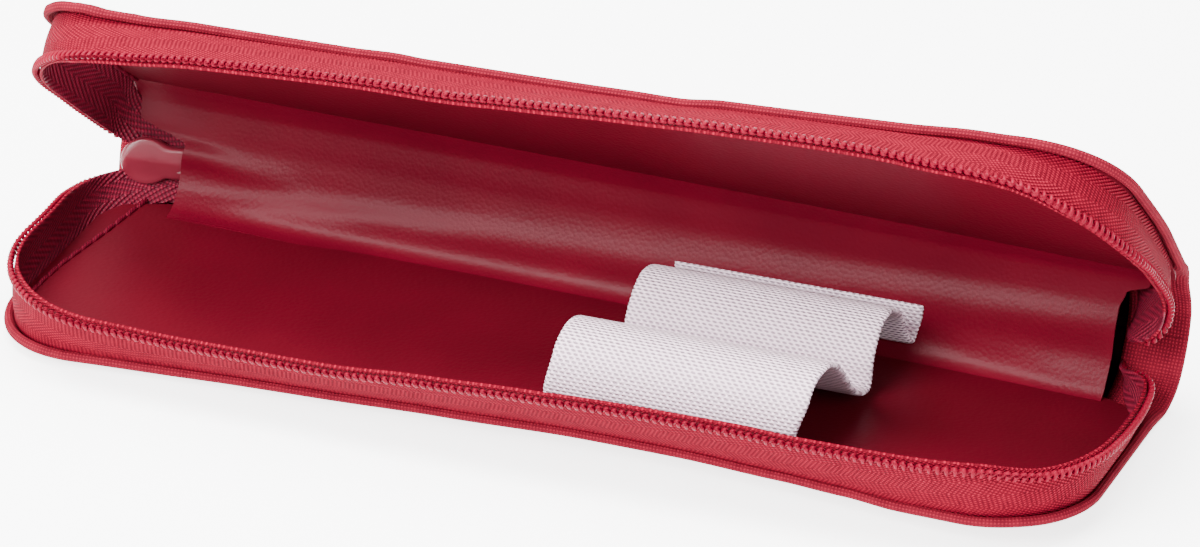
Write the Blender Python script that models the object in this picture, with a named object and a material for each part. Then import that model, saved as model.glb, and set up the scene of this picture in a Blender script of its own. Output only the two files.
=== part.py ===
# Double pen case: a long zip-round clamshell in coral book linen, lying open on its lower shell.
# Metres, +Z up. The origin is the middle of the lower panel's underside, +X along the case, -Y to the
# mouth. Both shells are the same piece of work: the lid is the lower shell turned over on its own fold.

import math

import bmesh
import bpy
from mathutils import Matrix, Vector

# Driving sizes of the case
CASE_LENGTH = 0.172
PANEL_DEPTH = 0.0497
LOWER_CORNER_RADIUS = 0.0177
UPPER_CORNER_RADIUS = 0.0162
LOWER_WAIST = 0.0055
UPPER_WAIST = 0.0063
FOLD_RADIUS = 0.0075
SPINE_STRAIGHT = 0.0086
SPINE_END_BULGE = 0.0012
COVER_THICKNESS = 0.0009
RIM_HEIGHT = 0.0022
RIM_WIDTH = 0.0021
EDGE_ROUND = 0.0004
BOARD_THICKNESS = 0.0008
LINING_THICKNESS = 0.0006
LINING_BACK_MARGIN = 0.002
GAP = 0.0003

# The case as photographed, and where its folds end
REST_OPENING = math.radians(40.7)
FOLD_ANGLE = (math.pi - REST_OPENING) / 2

# Zip tapes and chains
TAPE_THICKNESS = 0.0007
TAPE_INSET = 0.0012
TAPE_BULGE = 0.0007
TAPE_CORNER_RADIUS = 0.0026
TAPE_BACK_REACH = 0.0032
TAPE_POCKET_MARGIN = 0.0066
TAPE_STOP_REACH = 0.0014
TAPE_TAIL_FOOT = 0.0045
CHAIN_HEIGHT = 0.0093
LOWER_CHAIN_OVERHANG = 0.0002
UPPER_CHAIN_OVERHANG = 0.0009
LOWER_CHAIN_BOW = 0.0016
UPPER_CHAIN_BOW = 0.0051
LOWER_CHAIN_CORNER = 0.0207
UPPER_CHAIN_CORNER = 0.0256
CHAIN_HALF_WIDTH = 0.0006
CHAIN_ROOT = 0.0005
TOOTH_PITCH = 0.00118
TOOTH_CREST = 0.0006
TOOTH_VALLEY = 0.00015
TOOTH_NARROWING = 0.00025
CHAIN_TAIL_CUT = 0.005
CHAIN_STOP_CUT = 0.0006

# Lining strip over the spine, standing off the cover to leave the pocket for the zip's ends
STRIP_THICKNESS = 0.0006
STRIP_LEFT_MARGIN = 0.0122
STRIP_RIGHT_MARGIN = 0.0084
STRIP_STAND_OFF = 0.0066
STRIP_HALF_HEIGHT = 0.0078
STRIP_RETURN_RISE = 0.0016
STRIP_CORNER_RADIUS = 0.0012
STRIP_CROWN = 0.0003

# Elastic band: two holding loops and a free tail, sewn down between them, a little aslant
BAND_WIDTH = 0.039
BAND_LEFT_EDGE = 0.007
BAND_SLANT = math.radians(3.4)
BAND_THICKNESS = 0.0008
BAND_FOOT = 0.0016
FRONT_LOOP_RADIUS = 0.0065
FRONT_LOOP_TUCK = math.radians(35)
FRONT_LOOP_MARGIN = 0.0063
FRONT_LOOP_SLOPE_REACH = 0.0196
BAND_SEAM = 0.0012
REAR_LOOP_WIDTH = 0.0125
REAR_LOOP_HEIGHT = 0.008
REAR_LOOP_LEAN = 0.0006
BAND_REAR_SEAM = 0.0014
TAIL_HEIGHT = 0.0062
TAIL_LEAN = 0.0002

# Slider and its moulded pull
SLIDER_LENGTH = 0.0088
SLIDER_HEIGHT = 0.0052
SLIDER_NOSE = 0.0018
SLIDER_PLATE = 0.0007
SLIDER_THROAT = 0.0015
SLIDER_DROP = 0.0019
SLIDER_PAST_STRIP = 0.0026
DIVIDER_LENGTH = 0.003
DIVIDER_HEIGHT = 0.0016
CROWN_WIDTH = 0.0016
CROWN_THICKNESS = 0.0006
CROWN_CLEARANCE = 0.0014
CROWN_END_INSET = 0.0003
PULL_PIVOT_PAST_STRIP = 0.0002
PULL_BAR = 0.0007
PULL_BAR_THICKNESS = 0.00055
PULL_THICKNESS = 0.00095
PULL_DISC_RADIUS = 0.0039
PULL_DISC_REACH = 0.005
PULL_NECK_WIDTH = 0.005
PULL_WINDOW_WIDTH = 0.0024
PULL_WINDOW_LENGTH = 0.003
PULL_RIDGE_WIDTH = 0.0007
PULL_RIDGE_HEIGHT = 0.0003

# How finely the round stretches are drawn
CORNER_STEPS = 8
FRONT_STEPS = 20
END_STEPS = 3
BACK_CORNER_STEPS = 5
FOLD_STEPS = 4
KNUCKLE_STEPS = 4
LOOP_STEPS = 16
DISC_STEPS = 20
TAPE_LEVELS = 3

HALF_LENGTH = CASE_LENGTH / 2
STRIP_LEFT_END = HALF_LENGTH - STRIP_LEFT_MARGIN
STRIP_RIGHT_END = HALF_LENGTH - STRIP_RIGHT_MARGIN
TAPE_POCKET_END = HALF_LENGTH - TAPE_POCKET_MARGIN
PANEL_FRONT = -PANEL_DEPTH / 2
PANEL_BACK = PANEL_DEPTH / 2
NEUTRAL_RADIUS = FOLD_RADIUS - COVER_THICKNESS / 2
INNER_FOLD_RADIUS = FOLD_RADIUS - COVER_THICKNESS
LINING_FLOOR = COVER_THICKNESS + GAP + BOARD_THICKNESS + GAP
LINING_TOP = LINING_FLOOR + LINING_THICKNESS
LINING_BACK = PANEL_BACK - LINING_BACK_MARGIN

# What differs between the two shells: the lid's lips have been drawn further out by use. The zip's
# stop end is on the side where the slider parks, which is the other way round on the turned lid.
LOWER = {
    "corner": LOWER_CORNER_RADIUS,
    "waist": LOWER_WAIST,
    "overhang": LOWER_CHAIN_OVERHANG,
    "bow": LOWER_CHAIN_BOW,
    "chain_corner": LOWER_CHAIN_CORNER,
    "stop_side": -1,
}
UPPER = {
    "corner": UPPER_CORNER_RADIUS,
    "waist": UPPER_WAIST,
    "overhang": UPPER_CHAIN_OVERHANG,
    "bow": UPPER_CHAIN_BOW,
    "chain_corner": UPPER_CHAIN_CORNER,
    "stop_side": 1,
}


def linear(channel):
    # One sRGB channel, 0 to 255, as linear light
    value = channel / 255
    return value / 12.92 if value <= 0.04045 else ((value + 0.055) / 1.055) ** 2.4


def material(name, red, green, blue, roughness, metallic=0.0):
    made = bpy.data.materials.new(name)
    made.use_nodes = True
    shader = made.node_tree.nodes["Principled BSDF"]
    shader.inputs["Base Color"].default_value = (linear(red), linear(green), linear(blue), 1.0)
    shader.inputs["Roughness"].default_value = roughness
    shader.inputs["Metallic"].default_value = metallic
    return made


def add_object(name, points, faces, look, parent=None, sharp=35.0):
    # A closed mesh with its faces turned outwards
    mesh = bpy.data.meshes.new(name)
    mesh.from_pydata([tuple(point) for point in points], [], faces)
    work = bmesh.new()
    work.from_mesh(mesh)
    bmesh.ops.recalc_face_normals(work, faces=work.faces)
    work.to_mesh(mesh)
    work.free()
    mesh.shade_smooth()
    mesh.set_sharp_from_angle(angle=math.radians(sharp))
    mesh.materials.append(look)
    made = bpy.data.objects.new(name, mesh)
    bpy.context.collection.objects.link(made)
    made.parent = parent
    return made


def loft(rings):
    # Side faces between neighbouring rings, and a cap on the first and the last
    count = len(rings[0])
    points = [point for ring in rings for point in ring]
    faces = []
    for ring in range(len(rings) - 1):
        for corner in range(count):
            after = (corner + 1) % count
            low, high = ring * count, (ring + 1) * count
            faces.append((low + corner, low + after, high + after, high + corner))
    faces.append(tuple(range(count)))
    faces.append(tuple(range(len(points) - count, len(points))))
    return points, faces


def prism(outline, low, high):
    # An outline in the XY plane raised from low to high
    return loft([[(x, y, low) for x, y in outline], [(x, y, high) for x, y in outline]])


def arc(centre, radius, first, last, steps):
    # Points on an arc, from one angle to another, both ends included
    cx, cy = centre
    angles = [first + (last - first) * step / steps for step in range(steps + 1)]
    return [(cx + radius * math.cos(angle), cy + radius * math.sin(angle)) for angle in angles]


def waisted(x, y, draw_in):
    # The long front edge draws in towards mid length, and the ends stay put
    along = 1 - (x / HALF_LENGTH) ** 2
    across = (PANEL_BACK - y) / PANEL_DEPTH
    return x, y + draw_in * max(along, 0) * max(min(across, 1), 0)


def front_line(inset, shell):
    # From the back left, round the two front corners, to the back right
    side = HALF_LENGTH - inset
    front = PANEL_FRONT + inset
    radius = shell["corner"] - inset
    left, right = -side + radius, side - radius
    points = [(-side, PANEL_BACK)]
    points += arc((left, front + radius), radius, math.pi, 1.5 * math.pi, CORNER_STEPS)
    points += [(left + (right - left) * step / FRONT_STEPS, front) for step in range(1, FRONT_STEPS)]
    points += arc((right, front + radius), radius, 1.5 * math.pi, 2 * math.pi, CORNER_STEPS)
    points.append((side, PANEL_BACK))
    return [waisted(x, y, shell["waist"]) for x, y in points]


def zip_half(inset, radius, draw_in, side_sign, stops_short):
    # Half the zip's way, from mid length to one rear end: into the pocket, or up to the slider's stop
    side = HALF_LENGTH - inset
    front = PANEL_FRONT + inset
    back = PANEL_BACK + TAPE_BACK_REACH
    small = TAPE_CORNER_RADIUS
    run, near, far = side - radius, front + radius, back - small
    half_steps = FRONT_STEPS // 2
    points = [(run * step / half_steps, front) for step in range(half_steps)]
    points += arc((run, near), radius, -math.pi / 2, 0.0, CORNER_STEPS)
    if stops_short:
        stop = PANEL_BACK + TAPE_STOP_REACH
        points += [(side, near + (stop - near) * step / END_STEPS) for step in range(1, END_STEPS + 1)]
    else:
        points += [(side, near + (far - near) * step / END_STEPS) for step in range(1, END_STEPS)]
        points += arc((side - small, far), small, 0.0, math.pi / 2, BACK_CORNER_STEPS)
        points.append((TAPE_POCKET_END, back))
    return [waisted(side_sign * x, y, draw_in) for x, y in points]


def zip_line(inset, radius, draw_in, stop_side):
    # The zip's whole way round a shell, left rear to right rear
    left = zip_half(inset, radius, draw_in, -1, stop_side == -1)
    right = zip_half(inset, radius, draw_in, 1, stop_side == 1)
    return left[:0:-1] + right


def foot_line(shell):
    # Where the tape stands on the rim
    return zip_line(TAPE_INSET, shell["corner"] - TAPE_INSET, shell["waist"], shell["stop_side"])


def head_line(shell):
    # The line of the chain
    overhang = shell["overhang"]
    return zip_line(-overhang, shell["chain_corner"] + overhang, -shell["bow"], shell["stop_side"])


def smooth_step(value):
    value = max(0.0, min(1.0, value))
    return value * value * (3 - 2 * value)


def cover_mesh(shell):
    # Cloth sheet with its turned rim on three sides, and the first half of the back fold
    loops = [
        (EDGE_ROUND, 0.0),
        (0.0, EDGE_ROUND),
        (0.0, RIM_HEIGHT - EDGE_ROUND),
        (EDGE_ROUND, RIM_HEIGHT),
        (RIM_WIDTH, RIM_HEIGHT),
        (RIM_WIDTH, COVER_THICKNESS),
    ]
    points, faces = [], []
    for inset, height in loops:
        points += [(x, y, height) for x, y in front_line(inset, shell)]
    count = len(points) // len(loops)
    # The sheet's two free corners at the fold, level with the floor inside the rim
    corner_left, corner_right = len(points), len(points) + 1
    points.append((-HALF_LENGTH, PANEL_BACK, COVER_THICKNESS))
    points.append((HALF_LENGTH, PANEL_BACK, COVER_THICKNESS))
    for loop in range(len(loops) - 1):
        for step in range(count - 1):
            low, high = loop * count + step, (loop + 1) * count + step
            if loop == 1 and step == 0:
                faces.append((corner_left, low, low + 1, high + 1, high))
            elif loop == 1 and step == count - 2:
                faces.append((low, low + 1, corner_right, high + 1, high))
            else:
                faces.append((low, low + 1, high + 1, high))
    under = [loop * count for loop in range(len(loops))]
    over = [loop * count + count - 1 for loop in range(len(loops))]
    faces.append(tuple(range(count)))
    faces.append(tuple(range(under[5], under[5] + count)))
    faces.append((corner_left, under[2], under[3], under[4], under[5]))
    faces.append((corner_right, over[5], over[4], over[3], over[2]))
    # The fold: an arc that stops short of the knuckle of the spine
    reach = FOLD_ANGLE / 2 - (COVER_THICKNESS / 2 + GAP) / NEUTRAL_RADIUS
    before = [under[0], under[1], corner_left, under[5], over[5], corner_right, over[1], over[0]]
    first = True
    for step in range(1, FOLD_STEPS + 1):
        turn = reach * step / FOLD_STEPS
        ring = []
        for radius in (FOLD_RADIUS, INNER_FOLD_RADIUS):
            y = PANEL_BACK + radius * math.sin(turn)
            z = FOLD_RADIUS - radius * math.cos(turn)
            ring += [(-HALF_LENGTH, y, z), (HALF_LENGTH, y, z)]
        low_left = len(points)
        points += ring
        low_right, high_left, high_right = low_left + 1, low_left + 2, low_left + 3
        if first:
            faces.append((before[0], before[7], low_right, low_left))
            faces.append((before[0], low_left, before[1]))
            faces.append((before[1], low_left, high_left, before[2]))
            faces.append((before[2], high_left, high_right, before[5], before[4], before[3]))
            faces.append((before[6], before[5], high_right, low_right))
            faces.append((before[7], before[6], low_right))
            first = False
        else:
            faces.append((before[0], before[1], low_right, low_left))
            faces.append((before[2], high_left, high_right, before[3]))
            faces.append((before[0], low_left, high_left, before[2]))
            faces.append((before[1], before[3], high_right, low_right))
        before = [low_left, low_right, high_left, high_right]
    faces.append((before[0], before[1], before[3], before[2]))
    return points, faces


def sheet_mesh(shell, inset, low, high):
    # A flat sheet inside the rim, cut straight at the back
    outline = [(x, min(y, LINING_BACK)) for x, y in front_line(inset, shell)]
    return prism(outline, low, high)


def tape_foot(y):
    # The tape's lower edge lifts off the panel where it turns into the pocket
    start = PANEL_BACK - TAPE_CORNER_RADIUS
    rise = smooth_step((y - start) / (PANEL_BACK + TAPE_BACK_REACH - start))
    return RIM_HEIGHT + GAP + (TAPE_TAIL_FOOT - RIM_HEIGHT - GAP) * rise


def tape_mesh(shell):
    # A woven wall that leans from the rim out to the chain, bulging a little on its way up
    feet = foot_line(shell)
    head = CHAIN_HEIGHT - CHAIN_ROOT - GAP
    rings = []
    for index, (foot, top) in enumerate(zip(feet, head_line(shell))):
        before = feet[max(index - 1, 0)]
        after = feet[min(index + 1, len(feet) - 1)]
        along = Vector((after[0] - before[0], after[1] - before[1])).normalized()
        outward = Vector((along.y, -along.x))
        low = tape_foot(foot[1])
        outer, inner = [], []
        for level in range(TAPE_LEVELS + 1):
            share = level / TAPE_LEVELS
            place = Vector(foot).lerp(Vector(top), share)
            place += outward * TAPE_BULGE * math.sin(math.pi * share)
            height = low + (head - low) * share
            for side, line in ((TAPE_THICKNESS / 2, outer), (-TAPE_THICKNESS / 2, inner)):
                spot = place + outward * side
                line.append((spot.x, spot.y, height))
        rings.append(outer + inner[::-1])
    return loft(rings)


def spaced_points(line, spacing):
    # A line read again at an even spacing, which is stretched to fit a whole number of steps
    lengths = [(Vector(b) - Vector(a)).length for a, b in zip(line, line[1:])]
    total = sum(lengths)
    steps = round(total / spacing)
    read, segment, passed = [], 0, 0.0
    for step in range(steps + 1):
        goal = total * step / steps
        while segment < len(lengths) - 1 and passed + lengths[segment] < goal:
            passed += lengths[segment]
            segment += 1
        share = (goal - passed) / lengths[segment]
        start, end = Vector(line[segment]), Vector(line[segment + 1])
        read.append((start.lerp(end, share), (end - start).normalized()))
    return read


def cut_ends(read, shell):
    # The chain stops a little before the tape's own ends, and well before it in the pocket
    stop_left = shell["stop_side"] == -1
    left_cut = CHAIN_STOP_CUT if stop_left else CHAIN_TAIL_CUT
    right_cut = CHAIN_TAIL_CUT if stop_left else CHAIN_STOP_CUT
    first, last = read[0][0], read[-1][0]
    return [
        (place, along)
        for place, along in read
        if (place - first).length > left_cut and (place - last).length > right_cut
    ]


def chain_mesh(shell):
    # One side of the coil zip: a cord on the tape's edge with a tooth at every pitch
    rings = []
    for index, (place, along) in enumerate(cut_ends(spaced_points(head_line(shell), TOOTH_PITCH / 2), shell)):
        outward = Vector((along.y, -along.x))
        tooth = index % 2 == 0
        crest = TOOTH_CREST if tooth else TOOTH_VALLEY
        half = CHAIN_HALF_WIDTH if tooth else CHAIN_HALF_WIDTH - TOOTH_NARROWING
        rings.append(
            [
                (place.x + outward.x * half, place.y + outward.y * half, CHAIN_HEIGHT),
                (place.x, place.y, CHAIN_HEIGHT - CHAIN_ROOT),
                (place.x - outward.x * half, place.y - outward.y * half, CHAIN_HEIGHT),
                (place.x, place.y, CHAIN_HEIGHT + crest),
            ]
        )
    return loft(rings)


def fold_axis():
    # Height and reach of the fold's axis in a shell, halfway round its fold
    return Vector((0.0, PANEL_BACK + NEUTRAL_RADIUS * math.sin(FOLD_ANGLE / 2),
                   FOLD_RADIUS - NEUTRAL_RADIUS * math.cos(FOLD_ANGLE / 2)))


def spine_middle():
    # The middle of the spine's straight stretch, on its outer face, and its two directions
    up = Vector((0.0, math.cos(FOLD_ANGLE), math.sin(FOLD_ANGLE)))
    inward = Vector((0.0, -math.sin(FOLD_ANGLE), math.cos(FOLD_ANGLE)))
    start = Vector((0.0, PANEL_BACK + FOLD_RADIUS * math.sin(FOLD_ANGLE),
                    FOLD_RADIUS * (1 - math.cos(FOLD_ANGLE))))
    return start + up * SPINE_STRAIGHT / 2, up, inward


def spine_place(depth, rise):
    # A point so far in from the spine's outer face and so far up from its middle
    middle, up, inward = spine_middle()
    return middle + inward * depth + up * rise


def spine_cover_mesh(origin):
    # The cover's back: half a fold, a straight stretch, half a fold, with a knuckle at each end
    half = SPINE_STRAIGHT / 2
    centre_low = (FOLD_RADIUS, -half)
    centre_high = (FOLD_RADIUS, half)
    bend = FOLD_ANGLE / 2
    thin = COVER_THICKNESS / 2
    outer, inner = [], []
    for step in range(FOLD_STEPS + 1):
        turn = bend * (1 - step / FOLD_STEPS)
        for radius, line in ((FOLD_RADIUS, outer), (INNER_FOLD_RADIUS, inner)):
            line.append((centre_low[0] - radius * math.cos(turn), centre_low[1] - radius * math.sin(turn)))
    for step in range(FOLD_STEPS + 1):
        turn = bend * step / FOLD_STEPS
        for radius, line in ((FOLD_RADIUS, outer), (INNER_FOLD_RADIUS, inner)):
            line.append((centre_high[0] - radius * math.cos(turn), centre_high[1] + radius * math.sin(turn)))

    def knuckle(sign):
        # Round end about the fold's axis, from the outer face round to the inner one
        cx = FOLD_RADIUS - NEUTRAL_RADIUS * math.cos(bend)
        cy = sign * (half + NEUTRAL_RADIUS * math.sin(bend))
        steps = range(1, KNUCKLE_STEPS)
        turns = [sign * (math.pi - bend) + sign * -math.pi * step / KNUCKLE_STEPS for step in steps]
        return [(cx + thin * math.cos(turn), cy + thin * math.sin(turn)) for turn in turns]

    section = outer + knuckle(1) + inner[::-1] + knuckle(-1)[::-1]
    top = half + NEUTRAL_RADIUS * math.sin(bend)
    rings = []
    for side in (-1, 1):
        ring = []
        for depth, rise in section:
            swell = SPINE_END_BULGE * max(0.0, math.cos(math.pi / 2 * rise / top))
            place = spine_place(depth, rise) - origin
            ring.append((side * (HALF_LENGTH + swell), place.y, place.z))
        rings.append(ring)
    return loft(rings)


def thick_line(line, thickness):
    # A line in a plane given thickness, as one closed outline
    left, right = [], []
    for index, spot in enumerate(line):
        before = Vector(line[max(index - 1, 0)])
        after = Vector(line[min(index + 1, len(line) - 1)])
        here = Vector(spot)
        ways = [way.normalized() for way in (here - before, after - here) if way.length > 0]
        mean = sum(ways, Vector((0.0, 0.0))).normalized()
        reach = thickness / 2 / max(mean.dot(ways[0]), 0.5)
        side = Vector((-mean.y, mean.x)) * reach
        left.append(here + side)
        right.append(here - side)
    return [tuple(spot) for spot in left + right[::-1]]


def strip_line():
    # The lining strip's section in depth and rise: back to the cover, out, up, and back again
    depth, rise, radius = STRIP_STAND_OFF, STRIP_HALF_HEIGHT, STRIP_CORNER_RADIUS
    root_rise = rise - STRIP_RETURN_RISE
    centre = FOLD_RADIUS
    over = max(root_rise - SPINE_STRAIGHT / 2, 0.0)
    wall = centre - math.sqrt(INNER_FOLD_RADIUS ** 2 - over ** 2)
    root = wall + GAP + STRIP_THICKNESS / 2
    low = [(root, -root_rise)]
    low += arc((depth - radius, -rise + radius), radius, -math.pi / 2, 0.0, FOLD_STEPS)
    crown = [(depth + STRIP_CROWN, 0.0)]
    high = [(spot, -height) for spot, height in low[::-1]]
    return low + crown + high


def strip_mesh(origin):
    rings = []
    for x in (-STRIP_LEFT_END, STRIP_RIGHT_END):
        ring = []
        for depth, rise in thick_line(strip_line(), STRIP_THICKNESS):
            place = spine_place(depth, rise) - origin
            ring.append((x, place.y, place.z))
        rings.append(ring)
    return loft(rings)


def front_loop_points(base):
    # The front loop holds a barrel: out from its foot, round the front and top, then straight down
    radius = FRONT_LOOP_RADIUS
    centre_y = PANEL_FRONT + FRONT_LOOP_MARGIN + radius
    centre_z = base + radius * math.cos(FRONT_LOOP_TUCK)
    seam = (centre_y + FRONT_LOOP_SLOPE_REACH, base)
    away = math.hypot(seam[0] - centre_y, seam[1] - centre_z)
    heading = math.atan2(seam[1] - centre_z, seam[0] - centre_y)
    leave = heading + math.acos(radius / away)
    first = 1.5 * math.pi - FRONT_LOOP_TUCK
    points = arc((centre_y, centre_z), radius, first, leave, LOOP_STEPS)
    return [(points[0][0] + BAND_FOOT, base)] + points + [seam]


def rear_loop_points(start, base):
    # The rear loop: an arch from one seam to the next, leaning by its middle
    middle = start + REAR_LOOP_WIDTH / 2
    points = []
    for step in range(LOOP_STEPS + 1):
        turn = math.pi * (1 - step / LOOP_STEPS)
        rise = math.sin(turn)
        points.append((middle + REAR_LOOP_WIDTH / 2 * math.cos(turn) + REAR_LOOP_LEAN * rise * rise,
                       base + REAR_LOOP_HEIGHT * rise))
    return points


def band_line():
    # The band from its front foot, over the two loops, to the free tail
    base = LINING_TOP + GAP + BAND_THICKNESS / 2
    points = front_loop_points(base)
    points += rear_loop_points(points[-1][0] + BAND_SEAM, base)
    tail = points[-1][0] + BAND_REAR_SEAM
    for step in range(FOLD_STEPS + 1):
        share = step / FOLD_STEPS
        points.append((tail + TAIL_LEAN * share * share, base + TAIL_HEIGHT * share))
    return points


def band_mesh():
    outline = thick_line(band_line(), BAND_THICKNESS)
    slant = math.tan(BAND_SLANT)
    left, right = BAND_LEFT_EDGE, BAND_LEFT_EDGE + BAND_WIDTH
    return loft([[(left + y * slant, y, z) for y, z in outline], [(right + y * slant, y, z) for y, z in outline]])


def slider_plate(low, high):
    # A slider plate, blunt at the back and nosed at the front, between two depths
    half, tall = SLIDER_LENGTH / 2, SLIDER_HEIGHT / 2
    nose = SLIDER_NOSE
    outline = [
        (-half + nose, -tall),
        (half - nose, -tall),
        (half, -tall / 2),
        (half, tall / 2),
        (half - nose, tall),
        (-half + nose, tall),
        (-half, tall / 2),
        (-half, -tall / 2),
    ]
    return loft([[(x, -low, z) for x, z in outline], [(x, -high, z) for x, z in outline]])


def box(low, high):
    # A box between two corners
    (x0, y0, z0), (x1, y1, z1) = low, high
    return prism([(x0, y0), (x1, y0), (x1, y1), (x0, y1)], z0, z1)


def slider_mesh():
    # Two plates with the divider that parts the chains between them
    rear, front = SLIDER_PLATE, SLIDER_PLATE + SLIDER_THROAT
    half = SLIDER_LENGTH / 2
    wedge = [
        (half - DIVIDER_LENGTH, 0.0),
        (half - EDGE_ROUND, -DIVIDER_HEIGHT / 2),
        (half - EDGE_ROUND, DIVIDER_HEIGHT / 2),
    ]
    divider = loft(
        [
            [(x, -(rear - EDGE_ROUND), z) for x, z in wedge],
            [(x, -(front + EDGE_ROUND), z) for x, z in wedge],
        ]
    )
    return [slider_plate(0.0, rear), divider, slider_plate(front, front + SLIDER_PLATE)]


def crown_mesh():
    # The arch on the slider's face that holds the pull, its feet a hair off the plate
    half = SLIDER_LENGTH / 2 - CROWN_END_INSET - CROWN_THICKNESS / 2
    low = GAP
    top = CROWN_CLEARANCE + CROWN_THICKNESS / 2
    bend = CROWN_CLEARANCE / 2
    line = [(-half, low)]
    line += arc((-half + bend, top - bend), bend, math.pi, math.pi / 2, FOLD_STEPS)
    line += arc((half - bend, top - bend), bend, math.pi / 2, 0.0, FOLD_STEPS)
    line.append((half, low))
    outline = thick_line(line, CROWN_THICKNESS)
    wide = CROWN_WIDTH / 2
    return loft([[(x, -y, -wide) for x, y in outline], [(x, -y, wide) for x, y in outline]])


def pull_outline():
    # A disc that runs into a straight neck, drawn from the pivot outwards along -X
    neck = PULL_NECK_WIDTH / 2
    radius = PULL_DISC_RADIUS
    meet = math.asin(neck / radius)
    disc = arc((-PULL_DISC_REACH, 0.0), radius, meet, 2 * math.pi - meet, DISC_STEPS)
    end = PULL_BAR / 2
    return [(end, -neck + EDGE_ROUND), (end, neck - EDGE_ROUND), (end - EDGE_ROUND, neck)] + disc + [
        (end - EDGE_ROUND, -neck)
    ]


def boolean(target, cutter_points, cutter_faces, operation, note):
    # A Boolean with a hidden cutter that follows its target
    cutter = add_object(target.name + "_" + note, cutter_points, cutter_faces,
                        target.data.materials[0], target.parent)
    cutter.matrix_basis = target.matrix_basis.copy()
    cutter.hide_render = True
    cutter.display_type = "WIRE"
    step = target.modifiers.new(note, "BOOLEAN")
    step.operation = operation
    step.object = cutter


def place_axis(name, location, parent=None):
    axis = bpy.data.objects.new(name, None)
    axis.location = location
    axis.parent = parent
    axis.empty_display_size = FOLD_RADIUS
    bpy.context.collection.objects.link(axis)
    return axis


def make_shell(prefix, shell, looks, parent=None, turned_over=False):
    # One shell: cover, stiffening board, lining, zip tape and its row of teeth
    inset = RIM_WIDTH + GAP
    pieces = {
        "cover": (cover_mesh(shell), looks["cover"]),
        "board": (sheet_mesh(shell, inset, COVER_THICKNESS + GAP, LINING_FLOOR - GAP), looks["board"]),
        "lining": (sheet_mesh(shell, inset, LINING_FLOOR, LINING_TOP), looks["lining"]),
        "zip_tape": (tape_mesh(shell), looks["tape"]),
        "zip_chain": (chain_mesh(shell), looks["chain"]),
    }
    axis = fold_axis()
    for name, ((points, faces), look) in pieces.items():
        if turned_over:
            points = [Vector(point) - axis for point in points]
        made = add_object(prefix + "_" + name, points, faces, look, parent)
        if turned_over:
            made.rotation_euler = (REST_OPENING, math.pi, 0.0)


def make_slider(looks, spine_axis, spine_origin):
    # Slider in the left pocket, its pull lying out past the strip's edge
    rear = COVER_THICKNESS + GAP
    tilt = FOLD_ANGLE - math.pi / 2
    centre_x = -STRIP_LEFT_END - SLIDER_PAST_STRIP + SLIDER_LENGTH / 2
    place = spine_place(rear, -SLIDER_DROP) - spine_origin
    location = Vector((centre_x, place.y, place.z))
    parts = slider_mesh()
    body = add_object("slider_body", *parts[0], looks["slider"], spine_axis)
    body.location = location
    body.rotation_euler = (tilt, 0.0, 0.0)
    for note, (points, faces) in zip(("divider", "front_plate"), parts[1:]):
        boolean(body, points, faces, "UNION", note)
    face = rear + 2 * SLIDER_PLATE + SLIDER_THROAT
    place = spine_place(face, -SLIDER_DROP) - spine_origin
    crown = add_object("slider_crown", *crown_mesh(), looks["slider"], spine_axis)
    crown.location = (centre_x, place.y, place.z)
    crown.rotation_euler = (tilt, 0.0, 0.0)

    bar = PULL_BAR_THICKNESS / 2
    pivot_depth = face + CROWN_CLEARANCE - GAP - bar
    place = spine_place(pivot_depth, -SLIDER_DROP) - spine_origin
    pivot = place_axis("pull_axis", (-STRIP_LEFT_END - PULL_PIVOT_PAST_STRIP, place.y, place.z), spine_axis)
    pivot.rotation_euler = (tilt, 0.0, 0.0)
    points, faces = prism(pull_outline(), -bar, PULL_THICKNESS - bar)
    swap = Matrix(((1, 0, 0), (0, 0, -1), (0, 1, 0)))
    tab = add_object("pull_tab", [swap @ Vector(point) for point in points], faces, looks["pull"], pivot)
    window = PULL_WINDOW_WIDTH / 2
    past = PULL_THICKNESS * 2
    boolean(tab, *box((-PULL_BAR / 2 - PULL_WINDOW_LENGTH, -past, -window), (-PULL_BAR / 2, past, window)),
            "DIFFERENCE", "window")
    ridge = PULL_RIDGE_WIDTH / 2
    top = PULL_THICKNESS - bar
    start = -PULL_BAR / 2 - PULL_WINDOW_LENGTH - GAP
    end = -PULL_DISC_REACH - PULL_DISC_RADIUS / 2
    boolean(tab, *box((end, -top - PULL_RIDGE_HEIGHT, -ridge), (start, -top + GAP, ridge)), "UNION", "ridge")
    # The bar end of the neck is thinner than the rest, so that it turns under the crown
    step = -PULL_BAR / 2 - PULL_WINDOW_LENGTH / 2
    wide = PULL_NECK_WIDTH
    boolean(tab, *box((step, -past, -wide), (PULL_BAR, -bar, wide)), "DIFFERENCE",
            "bar_relief")


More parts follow.
